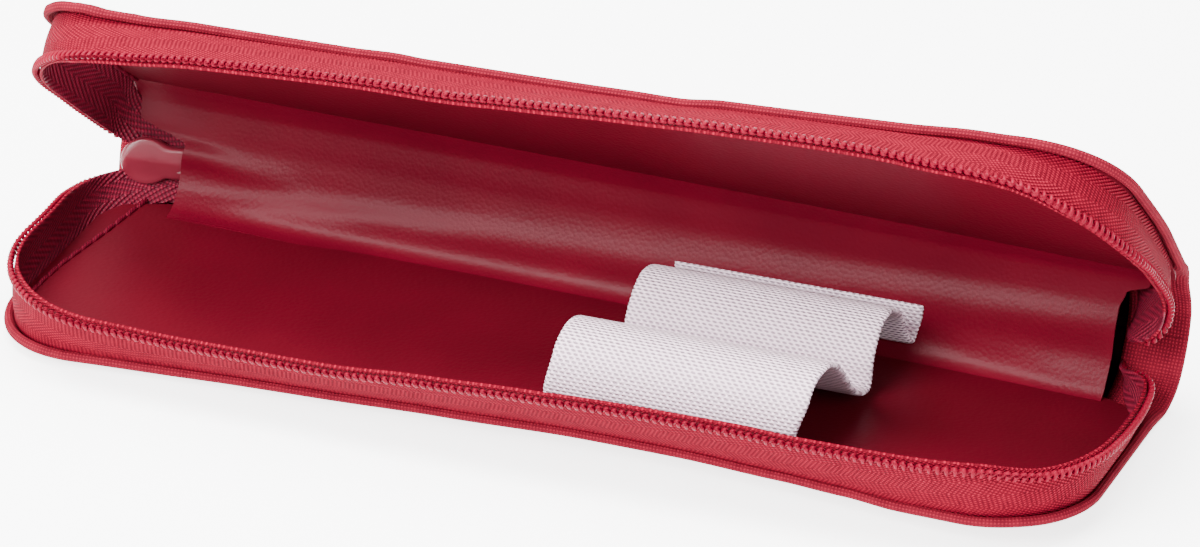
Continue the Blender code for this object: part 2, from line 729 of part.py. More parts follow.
def main():
    for old in list(bpy.data.objects):
        bpy.data.objects.remove(old, do_unlink=True)
    looks = {
        "cover": material("coral_linen", 206, 74, 80, 0.8),
        "board": material("grey_board", 120, 112, 108, 0.9),
        "lining": material("red_smooth_lining", 150, 18, 34, 0.45),
        "tape": material("red_zip_tape", 188, 52, 62, 0.8),
        "chain": material("red_nylon_coil", 176, 30, 52, 0.3),
        "band": material("white_elastic", 222, 214, 220, 0.85),
        "slider": material("red_painted_slider", 150, 40, 52, 0.35, 0.4),
        "pull": material("dusty_red_pull", 170, 62, 74, 0.5),
    }
    make_shell("lower", LOWER, looks)
    lower_fold = fold_axis()
    spine_axis = place_axis("spine_fold_axis", lower_fold)
    half = SPINE_STRAIGHT / 2 + NEUTRAL_RADIUS * math.sin(FOLD_ANGLE / 2)
    depth = FOLD_RADIUS - NEUTRAL_RADIUS * math.cos(FOLD_ANGLE / 2)
    upper_fold = spine_place(depth, half)
    add_object("spine_cover", *spine_cover_mesh(lower_fold), looks["cover"], spine_axis)
    add_object("spine_lining", *strip_mesh(lower_fold), looks["lining"], spine_axis)
    lid_axis = place_axis("lid_fold_axis", upper_fold - lower_fold, spine_axis)
    make_shell("upper", UPPER, looks, lid_axis, turned_over=True)
    add_object("elastic_band", *band_mesh(), looks["band"])
    make_slider(looks, spine_axis, lower_fold)


main()
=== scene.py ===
import bpy
import bmesh
import math
from mathutils import Matrix, Vector


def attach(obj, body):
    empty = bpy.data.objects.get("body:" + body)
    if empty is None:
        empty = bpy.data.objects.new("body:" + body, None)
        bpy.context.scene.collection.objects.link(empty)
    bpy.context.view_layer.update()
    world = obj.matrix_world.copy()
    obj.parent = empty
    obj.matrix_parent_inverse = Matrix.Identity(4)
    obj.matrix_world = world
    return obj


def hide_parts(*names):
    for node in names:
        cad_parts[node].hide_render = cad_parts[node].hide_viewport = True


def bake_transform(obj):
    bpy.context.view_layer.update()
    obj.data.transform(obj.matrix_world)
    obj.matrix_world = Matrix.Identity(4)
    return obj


# dresses the case's CAD nodes: covers, linings, tapes, coils, strip, elastic, pull, stitches; then the studio
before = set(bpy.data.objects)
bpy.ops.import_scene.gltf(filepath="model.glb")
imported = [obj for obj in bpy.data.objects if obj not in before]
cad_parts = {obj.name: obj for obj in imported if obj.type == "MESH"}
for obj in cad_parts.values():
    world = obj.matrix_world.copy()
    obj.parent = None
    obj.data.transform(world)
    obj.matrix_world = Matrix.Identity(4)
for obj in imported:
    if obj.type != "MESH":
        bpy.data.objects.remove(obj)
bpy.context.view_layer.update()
mm = 0.001
print("frame loaded:", len(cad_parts), "nodes")

# the case as a whole, in mm and radians
caseShape = {
    "halfLength": 86.0,
    "panelDepth": 49.7,
    "lowerFoldRadius": 6.56,
    "spineStraight": 8.63,
    "upperFoldRadius": 8.36,
    "foldTurn": math.radians(69.63),
    # how the soft case gives: the back's ends swell, both panels twist, the lid's left end is pinched
    "endSwell": 1.37,
    "lowerSaddle": 1.82,
    "lidTwist": math.radians(-3.8),
    "lidYaw": math.radians(-1.29),
    "lidPinch": 1.7,
    "pinchStart": 64,
    "pinchOver": 20,
    # share of the depth in which the front's waves die out
    "waveReach": 0.8,
    # where a shell flares: from the front edge and over, before the rear line and over; then along the case
    "flareDepth": (8, 25, 3, 9),
    "flareLength": (58, 22),
}
halfLength = caseShape["halfLength"]
panelDepth = caseShape["panelDepth"]
foldTurn = caseShape["foldTurn"]
lowerArc = caseShape["lowerFoldRadius"] * foldTurn
upperArc = caseShape["upperFoldRadius"] * foldTurn
backLength = lowerArc + caseShape["spineStraight"] + upperArc


def easeIn(t):
    # From 0 to 1 without a corner
    t = min(1.0, max(0.0, t))
    return t * t * (3 - 2 * t)


def wave(table, x):
    # Smooth read of a table of places and values
    if x <= table[0][0]:
        return table[0][1]
    for (x0, v0), (x1, v1) in zip(table, table[1:]):
        if x <= x1:
            return v0 + (v1 - v0) * easeIn((x - x0) / (x1 - x0))
    return table[-1][1]


def backSection(run):
    # Outer face of the folded back: place and heading after so many mm of cloth
    r1, r2 = caseShape["lowerFoldRadius"], caseShape["upperFoldRadius"]
    turn = min(run, lowerArc) / r1
    y = panelDepth + r1 * math.sin(turn)
    z = r1 * (1 - math.cos(turn))
    if run > lowerArc:
        straight = min(run - lowerArc, caseShape["spineStraight"])
        y += straight * math.cos(foldTurn)
        z += straight * math.sin(foldTurn)
    if run > lowerArc + caseShape["spineStraight"]:
        extra = (run - lowerArc - caseShape["spineStraight"]) / r2
        y += r2 * (math.sin(foldTurn + extra) - math.sin(foldTurn))
        z += r2 * (math.cos(foldTurn) - math.cos(foldTurn + extra))
        turn = foldTurn + extra
    return y, z, turn


def backPoint(x, run, z, shift=0.0):
    # On the back: x along, run in mm of cloth from the lower fold, z in from the outer face
    share = run / backLength
    y, height, turn = backSection(run)
    swell = 1 + caseShape["endSwell"] * math.sin(math.pi * share) / halfLength
    lift = -caseShape["lowerSaddle"] * (1 - share) * x / halfLength
    y += shift - z * math.sin(turn) - panelDepth / 2
    return Vector((x * swell, y, height + z * math.cos(turn) + lift))


def lowerPoint(x, y, z):
    # Lower shell: x along, y from the front edge and on round the back, z in from the outer face
    if y <= panelDepth:
        lift = caseShape["lowerSaddle"] * (x / halfLength) * (1 - 2 * y / panelDepth)
        return Vector((x, y - panelDepth / 2, z + lift))
    return backPoint(x, y - panelDepth, z)


def upperPoint(x, y, z):
    # The lid, in the same terms, hung on the end of the back
    x += caseShape["lidPinch"] * easeIn((-x - caseShape["pinchStart"]) / caseShape["pinchOver"])
    yaw = caseShape["lidYaw"]
    if y <= panelDepth:
        endY, endZ, turn = backSection(backLength)
        twist = caseShape["lidTwist"] * x / halfLength
        reach = panelDepth - y
        along = reach * math.cos(twist) - z * math.sin(twist)
        inward = reach * math.sin(twist) + z * math.cos(twist)
        spotY = endY + along * math.cos(turn) - inward * math.sin(turn)
        spotZ = endZ + along * math.sin(turn) + inward * math.cos(turn)
        spotX = x * math.cos(yaw) - (spotY - endY) * math.sin(yaw)
        spotY = endY + x * math.sin(yaw) + (spotY - endY) * math.cos(yaw)
        return Vector((spotX, spotY - panelDepth / 2, spotZ))
    yawFade = max(0.0, 1 - (y - panelDepth) / upperArc)
    return backPoint(x, backLength - (y - panelDepth), z, x * math.sin(yaw) * yawFade)


def place(x, y, z):
    # Millimetres from the front edge, as measured, to the part's own frame
    return Vector((x, y - panelDepth / 2, z))


# the two shells, in mm: cover, rim, the seam where the tape leaves it, and the chain above
shells = {
    "lower": {
        "point": lowerPoint,
        "flare": 0.0,
        "chainIn": 1.6,
        "cornerRadius": 17.7,
        "waist": 5.5,
        "chainCorner": 20.7,
        "chainBow": 1.6,
        "chainHeight": 9.7,
        "chainRise": 0.64,
        "chainOut": 0.27,
        "seamInset": 1.7,
        "seamHeight": 1.35,
        "sheetInset": 2.9,
        # the turned edge seen end on: mm in from the edge, mm up from the outer face
        "rim": [(3.0, 0.02), (1.4, 0.28), (0.8, 0.45), (0.3, 0.62), (0.05, 0.9), (0.0, 1.25), (0.08, 1.6),
                (0.35, 1.88), (0.8, 1.95), (1.15, 1.85), (1.4, 1.5), (1.6, 1.1), (2.4, 0.85), (3.0, 0.75)],
        # gentle waves of the soft edges, as lifts in mm at places along the case
        "rimWave": [(-86, 0.2), (-72, 0.3), (-50, -0.1), (-28, -0.3), (-10, 0.0), (12, 0.6), (26, 0.6),
                    (42, 0.15), (52, -0.2), (60, -0.7), (70, -0.5), (80, -0.2), (86, 0.0)],
        "chainWave": [(-86, 0.0), (-73, 0.5), (-62, -0.2), (-50, -0.6), (-25, -0.7), (-10, 0.1), (6, 0.6),
                      (18, 0.9), (38, 0.75), (46, 0.25), (60, 0.1), (74, 0.3), (80, -0.45), (86, -0.2)],
        # how far the chain sinks along the two ends, at places from front to back
        "leftDrop": [(4, -0.7), (12, -0.4), (20, -0.3), (28, 0.0), (33.5, 0.7), (40, 2.2), (46, 3.4)],
        "rightDrop": [(4, 1.1), (14, 1.0), (20, 1.0), (26, 1.6), (36, 1.7)],
    },
    "upper": {
        "point": upperPoint,
        "flare": 1.9,
        "chainIn": 0.0,
        "cornerRadius": 16.2,
        "waist": 6.3,
        "chainCorner": 25.6,
        "chainBow": 5.1,
        "chainHeight": 9.6,
        "chainRise": 0.0,
        "chainOut": 1.0,
        "seamInset": 2.0,
        "seamHeight": 1.9,
        "sheetInset": 5.9,
        "rim": [(6.0, 0.02), (3.0, 0.45), (1.4, 0.78), (0.8, 0.9), (0.3, 1.0), (0.05, 1.2), (0.0, 1.55),
                (0.0, 1.95), (0.1, 2.2), (0.4, 2.4), (0.8, 2.42), (1.2, 2.2), (1.6, 1.5), (6.0, 0.8)],
        "rimWave": [(-80, 0.5), (-75, 0.2), (-70, -0.3), (-63, -0.35), (-55, 0.0), (-31, 0.1), (-24, 0.35),
                    (-19, 0.1), (12, -0.15), (20, -0.35), (27, 0.25), (47, 0.2), (55, 0.15), (63, 0.3),
                    (71, 0.0), (86, 0.0)],
        "chainWave": [(-86, 0.0), (-77, -0.15), (-70, -0.55), (-62, -0.5), (-50, 0.1), (-25, 0.15),
                      (-9, -0.35), (2, -0.1), (17, 0.25), (32, 0.55), (47, 0.7), (55, 0.6), (62, 0.1),
                      (74, 0.4), (80, -0.5), (86, -1.0)],
        "leftDrop": [(0, 0.3), (8, 0.1), (28, -0.3), (35, -0.6), (48, -0.8)],
        "rightDrop": [(0, 0.3), (8, 0.1), (15, -0.2), (20, -0.1), (29, 0.9), (38, 1.6), (48, 1.5)],
    },
}
# the turned edge over the two ends of the back
hem = [(3.4, 0.02), (2.0, 0.0), (0.9, 0.03), (0.35, 0.1), (0.1, 0.3), (0.0, 0.6), (0.04, 0.95), (0.2, 1.2),
       (0.5, 1.33), (1.1, 1.38), (3.0, 1.38), (8.8, 1.34), (9.2, 1.2), (9.3, 0.9)]


def edgePath(radius, waist, out, rearLeft, rearRight, step=1.5):
    # Left rear, round the front and back to the right rear; x, y and the outward direction
    a = halfLength + out
    front = -out
    points = []
    sideCount = max(2, int((rearLeft - front - radius) / step))
    for i in range(sideCount):
        points.append((-a, rearLeft + (front + radius - rearLeft) * i / sideCount))
    cornerCount = max(6, int(radius * 1.57 / step))  # a quarter turn is 1.57 radians
    for i in range(cornerCount):
        turn = math.pi + math.pi / 2 * i / cornerCount
        points.append((-a + radius + radius * math.cos(turn), front + radius + radius * math.sin(turn)))
    frontCount = int(2 * (a - radius) / step)
    for i in range(frontCount):
        points.append((-a + radius + 2 * (a - radius) * i / frontCount, front))
    for i in range(cornerCount):
        turn = 1.5 * math.pi + math.pi / 2 * i / cornerCount
        points.append((a - radius + radius * math.cos(turn), front + radius + radius * math.sin(turn)))
    sideCount = max(2, int((rearRight - front - radius) / step))
    for i in range(sideCount + 1):
        points.append((a, front + radius + (rearRight - front - radius) * i / sideCount))
    drawn = []
    for x, y in points:
        pull = max(0.0, 1 - (x / a) ** 2) * min(1.0, max(0.0, 1 - y / panelDepth))
        drawn.append((x, y + waist * pull, pull))
    path = []
    for i, (x, y, pull) in enumerate(drawn):
        x0, y0, _ = drawn[max(i - 1, 0)]
        x1, y1, _ = drawn[min(i + 1, len(drawn) - 1)]
        along = Vector((x1 - x0, y1 - y0)).normalized()
        path.append((x, y, Vector((along.y, -along.x)), pull))
    return path


# small helpers
def hexColour(code):
    # sRGB hex as linear light
    values = []
    for i in (0, 2, 4):
        c = int(code[i:i + 2], 16) / 255
        values.append(c / 12.92 if c <= 0.04045 else ((c + 0.055) / 1.055) ** 2.4)
    return (*values, 1.0)


def deselect():
    bpy.ops.object.select_all(action="DESELECT")


def pickOnly(piece):
    deselect()
    piece.select_set(True)
    bpy.context.view_layer.objects.active = piece


def makeGrid(name, rows, uvs=None, closedAcross=False):
    # A smooth sheet from rows of points of equal length; points and cloth map are in mm
    count = len(rows[0])
    last = count if closedAcross else count - 1
    faces = []
    for r in range(len(rows) - 1):
        for c in range(last):
            n = (c + 1) % count
            faces.append((r * count + c, r * count + n, (r + 1) * count + n, (r + 1) * count + c))
    mesh = bpy.data.meshes.new(name)
    mesh.from_pydata([tuple(Vector(p) * mm) for row in rows for p in row], [], faces)
    if uvs is not None:
        flat = [uv for row in uvs for uv in row]
        layer = mesh.uv_layers.new(name="cloth")
        for loop in mesh.loops:
            layer.data[loop.index].uv = flat[loop.vertex_index]
    mesh.shade_smooth()
    piece = bpy.data.objects.new(name, mesh)
    bpy.context.collection.objects.link(piece)
    return piece


def applyModifier(piece, kind, **settings):
    pickOnly(piece)
    step = piece.modifiers.new(kind.title(), kind)
    for key, value in settings.items():
        setattr(step, key, value)
    bpy.ops.object.modifier_apply(modifier=step.name)


def joinPieces(name, pieces):
    pickOnly(pieces[0])
    for piece in pieces:
        piece.select_set(True)
    bpy.ops.object.join()
    pieces[0].name = name
    return pieces[0]


def turnOut(piece):
    # Faces point outwards
    work = bmesh.new()
    work.from_mesh(piece.data)
    bmesh.ops.recalc_face_normals(work, faces=work.faces)
    work.to_mesh(piece.data)
    work.free()


def closeEnds(piece, count):
    # Closes the two ends of a tube whose rows have so many points
    work = bmesh.new()
    work.from_mesh(piece.data)
    work.verts.ensure_lookup_table()
    total = len(work.verts)
    work.faces.new([work.verts[i] for i in range(count)])
    work.faces.new([work.verts[i] for i in range(total - 1, total - count - 1, -1)])
    work.to_mesh(piece.data)
    work.free()
    turnOut(piece)
    piece.data.shade_smooth()


def cord(name, centres, radius, across, sizes=None, sides=6):
    # A round cord along a path; across is a direction that the path never takes
    turns = [2 * math.pi * k / sides for k in range(sides)]
    ring = [(radius * math.cos(turn), radius * math.sin(turn)) for turn in turns]
    chord = 2 * radius * math.sin(math.pi / sides)
    rows, uvs, run = [], [], 0.0
    for i, centre in enumerate(centres):
        along = (centres[min(i + 1, len(centres) - 1)] - centres[max(i - 1, 0)]).normalized()
        size = sizes[i] if sizes else 1.0
        first = along.cross(across).normalized()
        second = along.cross(first).normalized() * size
        first *= size
        if i:
            run += (centre - centres[i - 1]).length
        rows.append([centre + first * a + second * b for a, b in ring])
        uvs.append([(run, chord * k) for k in range(sides)])
    piece = makeGrid(name, rows, uvs, closedAcross=True)
    closeEnds(piece, sides)
    return piece


# materials: colours as sRGB hex, pattern sizes in mm, roughness and specular level of the shader
finishes = {
    "bookcloth_linen": {"dark": "3A0611", "light": "771626", "thread": 0.52, "slub": 2.2,
                        "roughness": 0.88, "specular": 0.03},
    "polyester_zip_tape": {"dark": "2A0207", "light": "820C25", "rib": 0.44, "pick": 0.62,
                           "roughness": 0.8, "specular": 0.03},
    # the inner faces' copy of the tape: its crimson tone is painted shade and red bounce light from inside
    # the case
    # the ribs of the tape's inner face are drawn coarser than the real 0.44 mm, so that they show
    "polyester_zip_tape_back": {"dark": "2C0512", "light": "7E142D", "rib": 0.8, "pick": 0.6,
                                "roughness": 0.55, "specular": 0.15},
    "polyurethane_lining": {"dark": "430611", "light": "500816", "grain": 0.7, "relief": 0.2,
                            "roughness": 0.44, "specular": 0.06},
    "pebbled_leatherette": {"dark": "480614", "light": "5A091A", "grain": 0.6, "relief": 0.24,
                            "roughness": 0.36, "specular": 0.06},
    "nylon_coil": {"dark": "580415", "light": "6B0A20", "cloud": 3.0, "roughness": 0.3, "specular": 0.035},
    "knitted_elastic": {"dark": "87707F", "light": "E3CBD7", "row": 0.56, "loop": 1.02, "fuzz": 0.8,
                        "roughness": 0.85, "specular": 0.15},
    "polyester_thread": {"dark": "3B0511", "light": "680E24", "ply": 0.32,
                         "roughness": 0.55, "specular": 0.05},
    "enamelled_pull": {"dark": "5F1221", "light": "721D2D", "grain": 0.5, "coat": 0.15,
                       "roughness": 0.42, "specular": 0.5},
    "enamelled_slider": {"dark": "4C0810", "light": "601018", "grain": 0.5, "coat": 0.0,
                         "roughness": 0.4, "specular": 0.5},
    # the cover's inner face: near-black, painted shade for the dark pockets between cover and linings
    "cover_inner_painted_shade": {"dark": "090304", "light": "0D0506", "grain": 0.6, "coat": 0.0,
                            "roughness": 0.95, "specular": 0.0},
    "greyboard": {"dark": "6E6760", "light": "8A8078", "grain": 0.8, "coat": 0.0,
                  "roughness": 0.92, "specular": 0.5},
}


def newMaterial(name):
    look = bpy.data.materials.new(name)
    look.use_nodes = True
    look.node_tree.nodes.clear()
    return look


def addNode(look, kind, settings=None):
    # A setting is a property of the node or the value of a socket; a value of (node, output) is a link
    node = look.node_tree.nodes.new(kind)
    sockets = {}
    for key, value in (settings or {}).items():
        if isinstance(key, int) or key in node.inputs:
            sockets[key] = value
        else:
            setattr(node, key, value)
    for key, value in sockets.items():
        if isinstance(value, tuple) and isinstance(value[0], bpy.types.Node):
            look.node_tree.links.new(value[0].outputs[value[1]], node.inputs[key])
        else:
            node.inputs[key].default_value = value
    return node


def threadRows(look, cloth, pitch, along, turn=0.0, wobble=0.0):
    # Even rows of thread across the cloth map, which is in mm; at scale 1 the wave repeats every pi / 10
    turned = addNode(look, "ShaderNodeMapping", {
        "Vector": cloth, "Rotation": (0, 0, turn), "Location": (0.37, 0.19, 0)})
    return addNode(look, "ShaderNodeTexWave", {
        "Vector": (turned, "Vector"), "bands_direction": along, "Scale": math.pi / 10 / pitch,
        "Distortion": wobble, "Detail": 1.0, "Detail Scale": 4.0})


def finishLook(look, use, share, height=None, strength=0.4, depth=0.1, **more):
    # The two colours mixed by the share, relief with its depth in mm, shader and output
    colour = addNode(look, "ShaderNodeMix", {
        "data_type": "RGBA", 0: share, 6: hexColour(use["dark"]), 7: hexColour(use["light"])})
    settings = {
        "Base Color": (colour, 2), "Roughness": use["roughness"],
        "Specular IOR Level": use["specular"], **more}
    if height:
        relief = {"Strength": strength, "Distance": depth * mm, "Height": height}
        settings["Normal"] = (addNode(look, "ShaderNodeBump", relief), "Normal")
    shader = addNode(look, "ShaderNodeBsdfPrincipled", settings)
    addNode(look, "ShaderNodeOutputMaterial", {"Surface": (shader, "BSDF")})
    return look


def linenLook(name):
    # Linen bookcloth: coarse slubby plain weave, dyed coral, matt; thread gaps read darker
    look, use = newMaterial(name), finishes[name]
    cloth = (addNode(look, "ShaderNodeUVMap", {"uv_map": "cloth"}), "UV")
    at = (addNode(look, "ShaderNodeTexCoord"), "Object")
    warp = threadRows(look, cloth, use["thread"], "X", 0.0, 0.6)
    weft = threadRows(look, cloth, use["thread"], "Y", 0.0, 0.6)
    cross = addNode(look, "ShaderNodeMath", {"operation": "MULTIPLY", 0: (warp, "Fac"), 1: (weft, "Fac")})
    slub = addNode(look, "ShaderNodeTexNoise", {
        "Vector": at, "Scale": 1000 / use["slub"], "Detail": 4.0, "Roughness": 0.55})
    uneven = addNode(look, "ShaderNodeMath", {"operation": "MULTIPLY", 0: (slub, "Fac"), 1: 0.5})
    tone = addNode(look, "ShaderNodeMath", {
        "operation": "MULTIPLY_ADD", "use_clamp": True, 0: (cross, "Value"), 1: 0.75, 2: (uneven, "Value")})
    return finishLook(look, use, (tone, "Value"), (cross, "Value"), 0.7, 0.16)


def tapeLook(name):
    # Polyester zip tape in herringbone twill: fine ribs lean one way, then the other, dark between the picks
    look, use = newMaterial(name), finishes[name]
    cloth = (addNode(look, "ShaderNodeUVMap", {"uv_map": "cloth"}), "UV")
    at = (addNode(look, "ShaderNodeTexCoord"), "Object")
    parts = addNode(look, "ShaderNodeSeparateXYZ", {"Vector": cloth})
    # the map is folded every 2.6 mm, so that the ribs turn back there
    fold = addNode(look, "ShaderNodeMath", {"operation": "PINGPONG", 0: (parts, "Y"), 1: 2.6})
    folded = (addNode(look, "ShaderNodeCombineXYZ", {"X": (parts, "X"), "Y": (fold, "Value")}), "Vector")
    ribs = threadRows(look, folded, use["rib"], "Y", math.radians(24), 0.25)
    picks = threadRows(look, folded, use["pick"], "X", math.radians(24), 0.5)
    height = addNode(look, "ShaderNodeMath", {
        "operation": "MULTIPLY_ADD", 0: (picks, "Fac"), 1: 0.35, 2: (ribs, "Fac")})
    mottle = addNode(look, "ShaderNodeTexNoise", {
        "Vector": at, "Scale": 1000 / 1.6, "Detail": 3.0, "Roughness": 0.55})
    woven = addNode(look, "ShaderNodeMath", {"operation": "MULTIPLY", 0: (ribs, "Fac"), 1: (picks, "Fac")})
    weave = addNode(look, "ShaderNodeMath", {
        "operation": "MULTIPLY_ADD", 0: (woven, "Value"), 1: 0.85, 2: 0.05})
    tone = addNode(look, "ShaderNodeMath", {
        "operation": "MULTIPLY_ADD", "use_clamp": True, 0: (mottle, "Fac"), 1: 0.4, 2: (weave, "Value")})
    return finishLook(look, use, (tone, "Value"), (height, "Value"), 0.9, 0.2)


def leatherLook(name):
    # Polyurethane leatherette: pebbled in the roll, satin; the pebbles catch the light one by one
    look, use = newMaterial(name), finishes[name]
    at = (addNode(look, "ShaderNodeTexCoord"), "Object")
    cells = addNode(look, "ShaderNodeTexVoronoi", {"Vector": at, "Scale": 1000 / use["grain"]})
    fine = addNode(look, "ShaderNodeTexNoise", {
        "Vector": at, "Scale": 1000 / (use["grain"] * 0.6), "Detail": 3.0})
    wash = addNode(look, "ShaderNodeTexNoise", {
        "Vector": at, "Scale": 1000 / 18.0, "Detail": 2.0, "Roughness": 0.55})
    pebbles = addNode(look, "ShaderNodeMath", {"operation": "SUBTRACT", 0: 1.0, 1: (cells, "Distance")})
    height = addNode(look, "ShaderNodeMath", {
        "operation": "MULTIPLY_ADD", 0: (fine, "Fac"), 1: 0.5, 2: (pebbles, "Value")})
    return finishLook(look, use, (wash, "Fac"), (height, "Value"), use["relief"], 0.12)


def coilLook(name):
    # Nylon monofilament, dyed through and wound: smooth and deep red, with small faint highlights
    look, use = newMaterial(name), finishes[name]
    at = (addNode(look, "ShaderNodeTexCoord"), "Object")
    shade = addNode(look, "ShaderNodeTexNoise", {
        "Vector": at, "Scale": 1000 / use["cloud"], "Detail": 2.0, "Roughness": 0.55})
    return finishLook(look, use, (shade, "Fac"))


def elasticLook(name):
    # Knitted elastic, white polyester over rubber: rows of small slanted loops with a dark slot by each
    look, use = newMaterial(name), finishes[name]
    cloth = (addNode(look, "ShaderNodeUVMap", {"uv_map": "cloth"}), "UV")
    at = (addNode(look, "ShaderNodeTexCoord"), "Object")
    parts = addNode(look, "ShaderNodeSeparateXYZ", {"Vector": cloth})
    row = addNode(look, "ShaderNodeMath", {"operation": "DIVIDE", 0: (parts, "Y"), 1: use["row"]})
    within = addNode(look, "ShaderNodeMath", {"operation": "FRACT", 0: (row, "Value")})
    # every second row is set over by half a loop, and each loop leans
    whole = addNode(look, "ShaderNodeMath", {"operation": "FLOOR", 0: (row, "Value")})
    setOver = addNode(look, "ShaderNodeMath", {"operation": "MULTIPLY", 0: (whole, "Value"), 1: 0.5})
    column = addNode(look, "ShaderNodeMath", {
        "operation": "MULTIPLY_ADD", 0: (parts, "X"), 1: 1 / use["loop"], 2: (setOver, "Value")})
    leaning = addNode(look, "ShaderNodeMath", {
        "operation": "MULTIPLY_ADD", 0: (within, "Value"), 1: 0.45, 2: (column, "Value")})
    across = addNode(look, "ShaderNodeMath", {"operation": "FRACT", 0: (leaning, "Value")})
    # how far a point is from the middle of its slot, squared
    squares = []
    for share, stretch in ((across, 2.6), (within, 3.0)):
        off = addNode(look, "ShaderNodeMath", {"operation": "SUBTRACT", 0: (share, "Value"), 1: 0.5})
        far = addNode(look, "ShaderNodeMath", {"operation": "MULTIPLY", 0: (off, "Value"), 1: stretch})
        square = addNode(look, "ShaderNodeMath", {
            "operation": "MULTIPLY", 0: (far, "Value"), 1: (far, "Value")})
        squares.append((square, "Value"))
    distance = addNode(look, "ShaderNodeMath", {"operation": "ADD", 0: squares[0], 1: squares[1]})
    loop = addNode(look, "ShaderNodeMapRange", {
        "Value": (distance, "Value"), "From Min": 0.2, "From Max": 1.15})
    ribs = threadRows(look, cloth, use["row"], "Y", 0.0, 0.3)
    height = addNode(look, "ShaderNodeMath", {
        "operation": "MULTIPLY_ADD", 0: (ribs, "Fac"), 1: 0.4, 2: (loop, "Result")})
    fuzz = addNode(look, "ShaderNodeTexNoise", {
        "Vector": at, "Scale": 1000 / use["fuzz"], "Detail": 3.0, "Roughness": 0.55})
    faded = addNode(look, "ShaderNodeMath", {"operation": "MULTIPLY", 0: (loop, "Result"), 1: 0.8})
    tone = addNode(look, "ShaderNodeMath", {
        "operation": "MULTIPLY_ADD", "use_clamp": True, 0: (fuzz, "Fac"), 1: 0.35, 2: (faded, "Value")})
    return finishLook(look, use, (tone, "Value"), (height, "Value"), 1.0, 0.24, **{
        "Subsurface Weight": 0.08, "Subsurface Radius": (0.0006, 0.0005, 0.0006), "Subsurface Scale": 1.0})


def coatedLook(name):
    # Enamel on cast zinc: satin, with a slight orange peel; greyboard is dull, and the cover's inner face is
    # a dull near-black that paints the shade of the pockets
    look, use = newMaterial(name), finishes[name]
    at = (addNode(look, "ShaderNodeTexCoord"), "Object")
    peel = addNode(look, "ShaderNodeTexNoise", {
        "Vector": at, "Scale": 1000 / use["grain"], "Detail": 3.0, "Roughness": 0.55})
    wash = addNode(look, "ShaderNodeTexNoise", {
        "Vector": at, "Scale": 1000 / 5.0, "Detail": 2.0, "Roughness": 0.55})
    return finishLook(look, use, (wash, "Fac"), (peel, "Fac"), 0.15, 0.05, **{
        "Coat Weight": use["coat"], "Coat Roughness": 0.3})


def threadLook(name):
    # Polyester sewing thread, two plies twisted: a fine slanting ripple with little sheen
    look, use = newMaterial(name), finishes[name]
    cloth = (addNode(look, "ShaderNodeUVMap", {"uv_map": "cloth"}), "UV")
    plies = threadRows(look, cloth, use["ply"], "DIAGONAL")
    return finishLook(look, use, (plies, "Fac"), (plies, "Fac"), 0.5, 0.06)


def floorLook():
    # Matt white acrylic sweep, lit a little from below as on a light table
    look = newMaterial("white_sweep")
    shader = addNode(look, "ShaderNodeBsdfPrincipled", {
        "Base Color": hexColour("D2D2D2"), "Roughness": 0.95, "Specular IOR Level": 0.0,
        "Emission Color": (1, 1, 1, 1), "Emission Strength": 3.4})
    addNode(look, "ShaderNodeOutputMaterial", {"Surface": (shader, "BSDF")})
    return look


looks = {
    "linen": linenLook("bookcloth_linen"),
    "tape": tapeLook("polyester_zip_tape"),
    "tapeInnerShaded": tapeLook("polyester_zip_tape_back"),
    "lining": leatherLook("polyurethane_lining"),
    "leatherette": leatherLook("pebbled_leatherette"),
    "coil": coilLook("nylon_coil"),
    "thread": threadLook("polyester_thread"),
    "elastic": elasticLook("knitted_elastic"),
    "pull": coatedLook("enamelled_pull"),
    "slider": coatedLook("enamelled_slider"),
    "coverInnerPaintedShade": coatedLook("cover_inner_painted_shade"),
    "board": coatedLook("greyboard"),
    "floor": floorLook(),
}
print("materials made")


def dress(piece, look):
    piece.data.materials.clear()
    piece.data.materials.append(looks[look])


# covers: one sheet with its turned rim for each shell
coverCloth = {
    "thickness": 1.0,
    "columns": 72,
    "cornerColumns": 10,
    "panelRows": 20,
    "backRows": 16,
    "backInset": 2.9,
    # mm before the rear line over which a sheet's inset turns into that of the back
    "insetOver": 5.0,
    # mm before the rear line where the high rim starts to turn into the flat hem, and how soon
    "hemStart": 6.0,
    "hemOver": 8.0,
    # mm from the middle past which the rear corners of linings and boards are cut back
    "cutStart": 74.0,
    # a point inside the half open case, in metres
    "heart": (0, 0.02, 0.012),
}


def frontEdge(x, radius, waist):
    # y of the cover's front edge at a place along the case
    over = abs(x) - (halfLength - radius)
    y = 0.0 if over <= 0 else radius - math.sqrt(max(radius ** 2 - over ** 2, 0.0))
    pull = max(0.0, 1 - (x / halfLength) ** 2) * min(1.0, max(0.0, 1 - y / panelDepth))
    return y + waist * pull


def columnPlaces(inset, radius):
    # Places across, closer together round the corners
    a = halfLength - inset
    corner = coverCloth["cornerColumns"]
    middle = coverCloth["columns"] - 2 * corner
    turned = [radius * (1 - math.cos(math.pi / 2 * i / corner)) for i in range(corner)]
    places = [-a + t for t in turned]
    places += [-a + radius + 2 * (a - radius) * i / middle for i in range(middle + 1)]
    places += [a - t for t in reversed(turned)]
    return places


def waveLift(shell, x, y, table="rimWave"):
    # The front's waves die out towards the back, where the ends have their own
    fade = max(0.0, 1 - y / (panelDepth * caseShape["waveReach"]))
    return wave(shell[table], x) * fade


def settle(spot, shell, x, y):
    # Soft edges wave along the case, and stand out where the cloth is pulled round the back's end
    start, over, before, fall = caseShape["flareDepth"]
    alongStart, alongOver = caseShape["flareLength"]
    spot.z += waveLift(shell, x, y)
    rise = easeIn((y - start) / over) * (1 - easeIn((y - panelDepth + before) / fall))
    spot.x += shell["flare"] * rise * easeIn((x - alongStart) / alongOver)


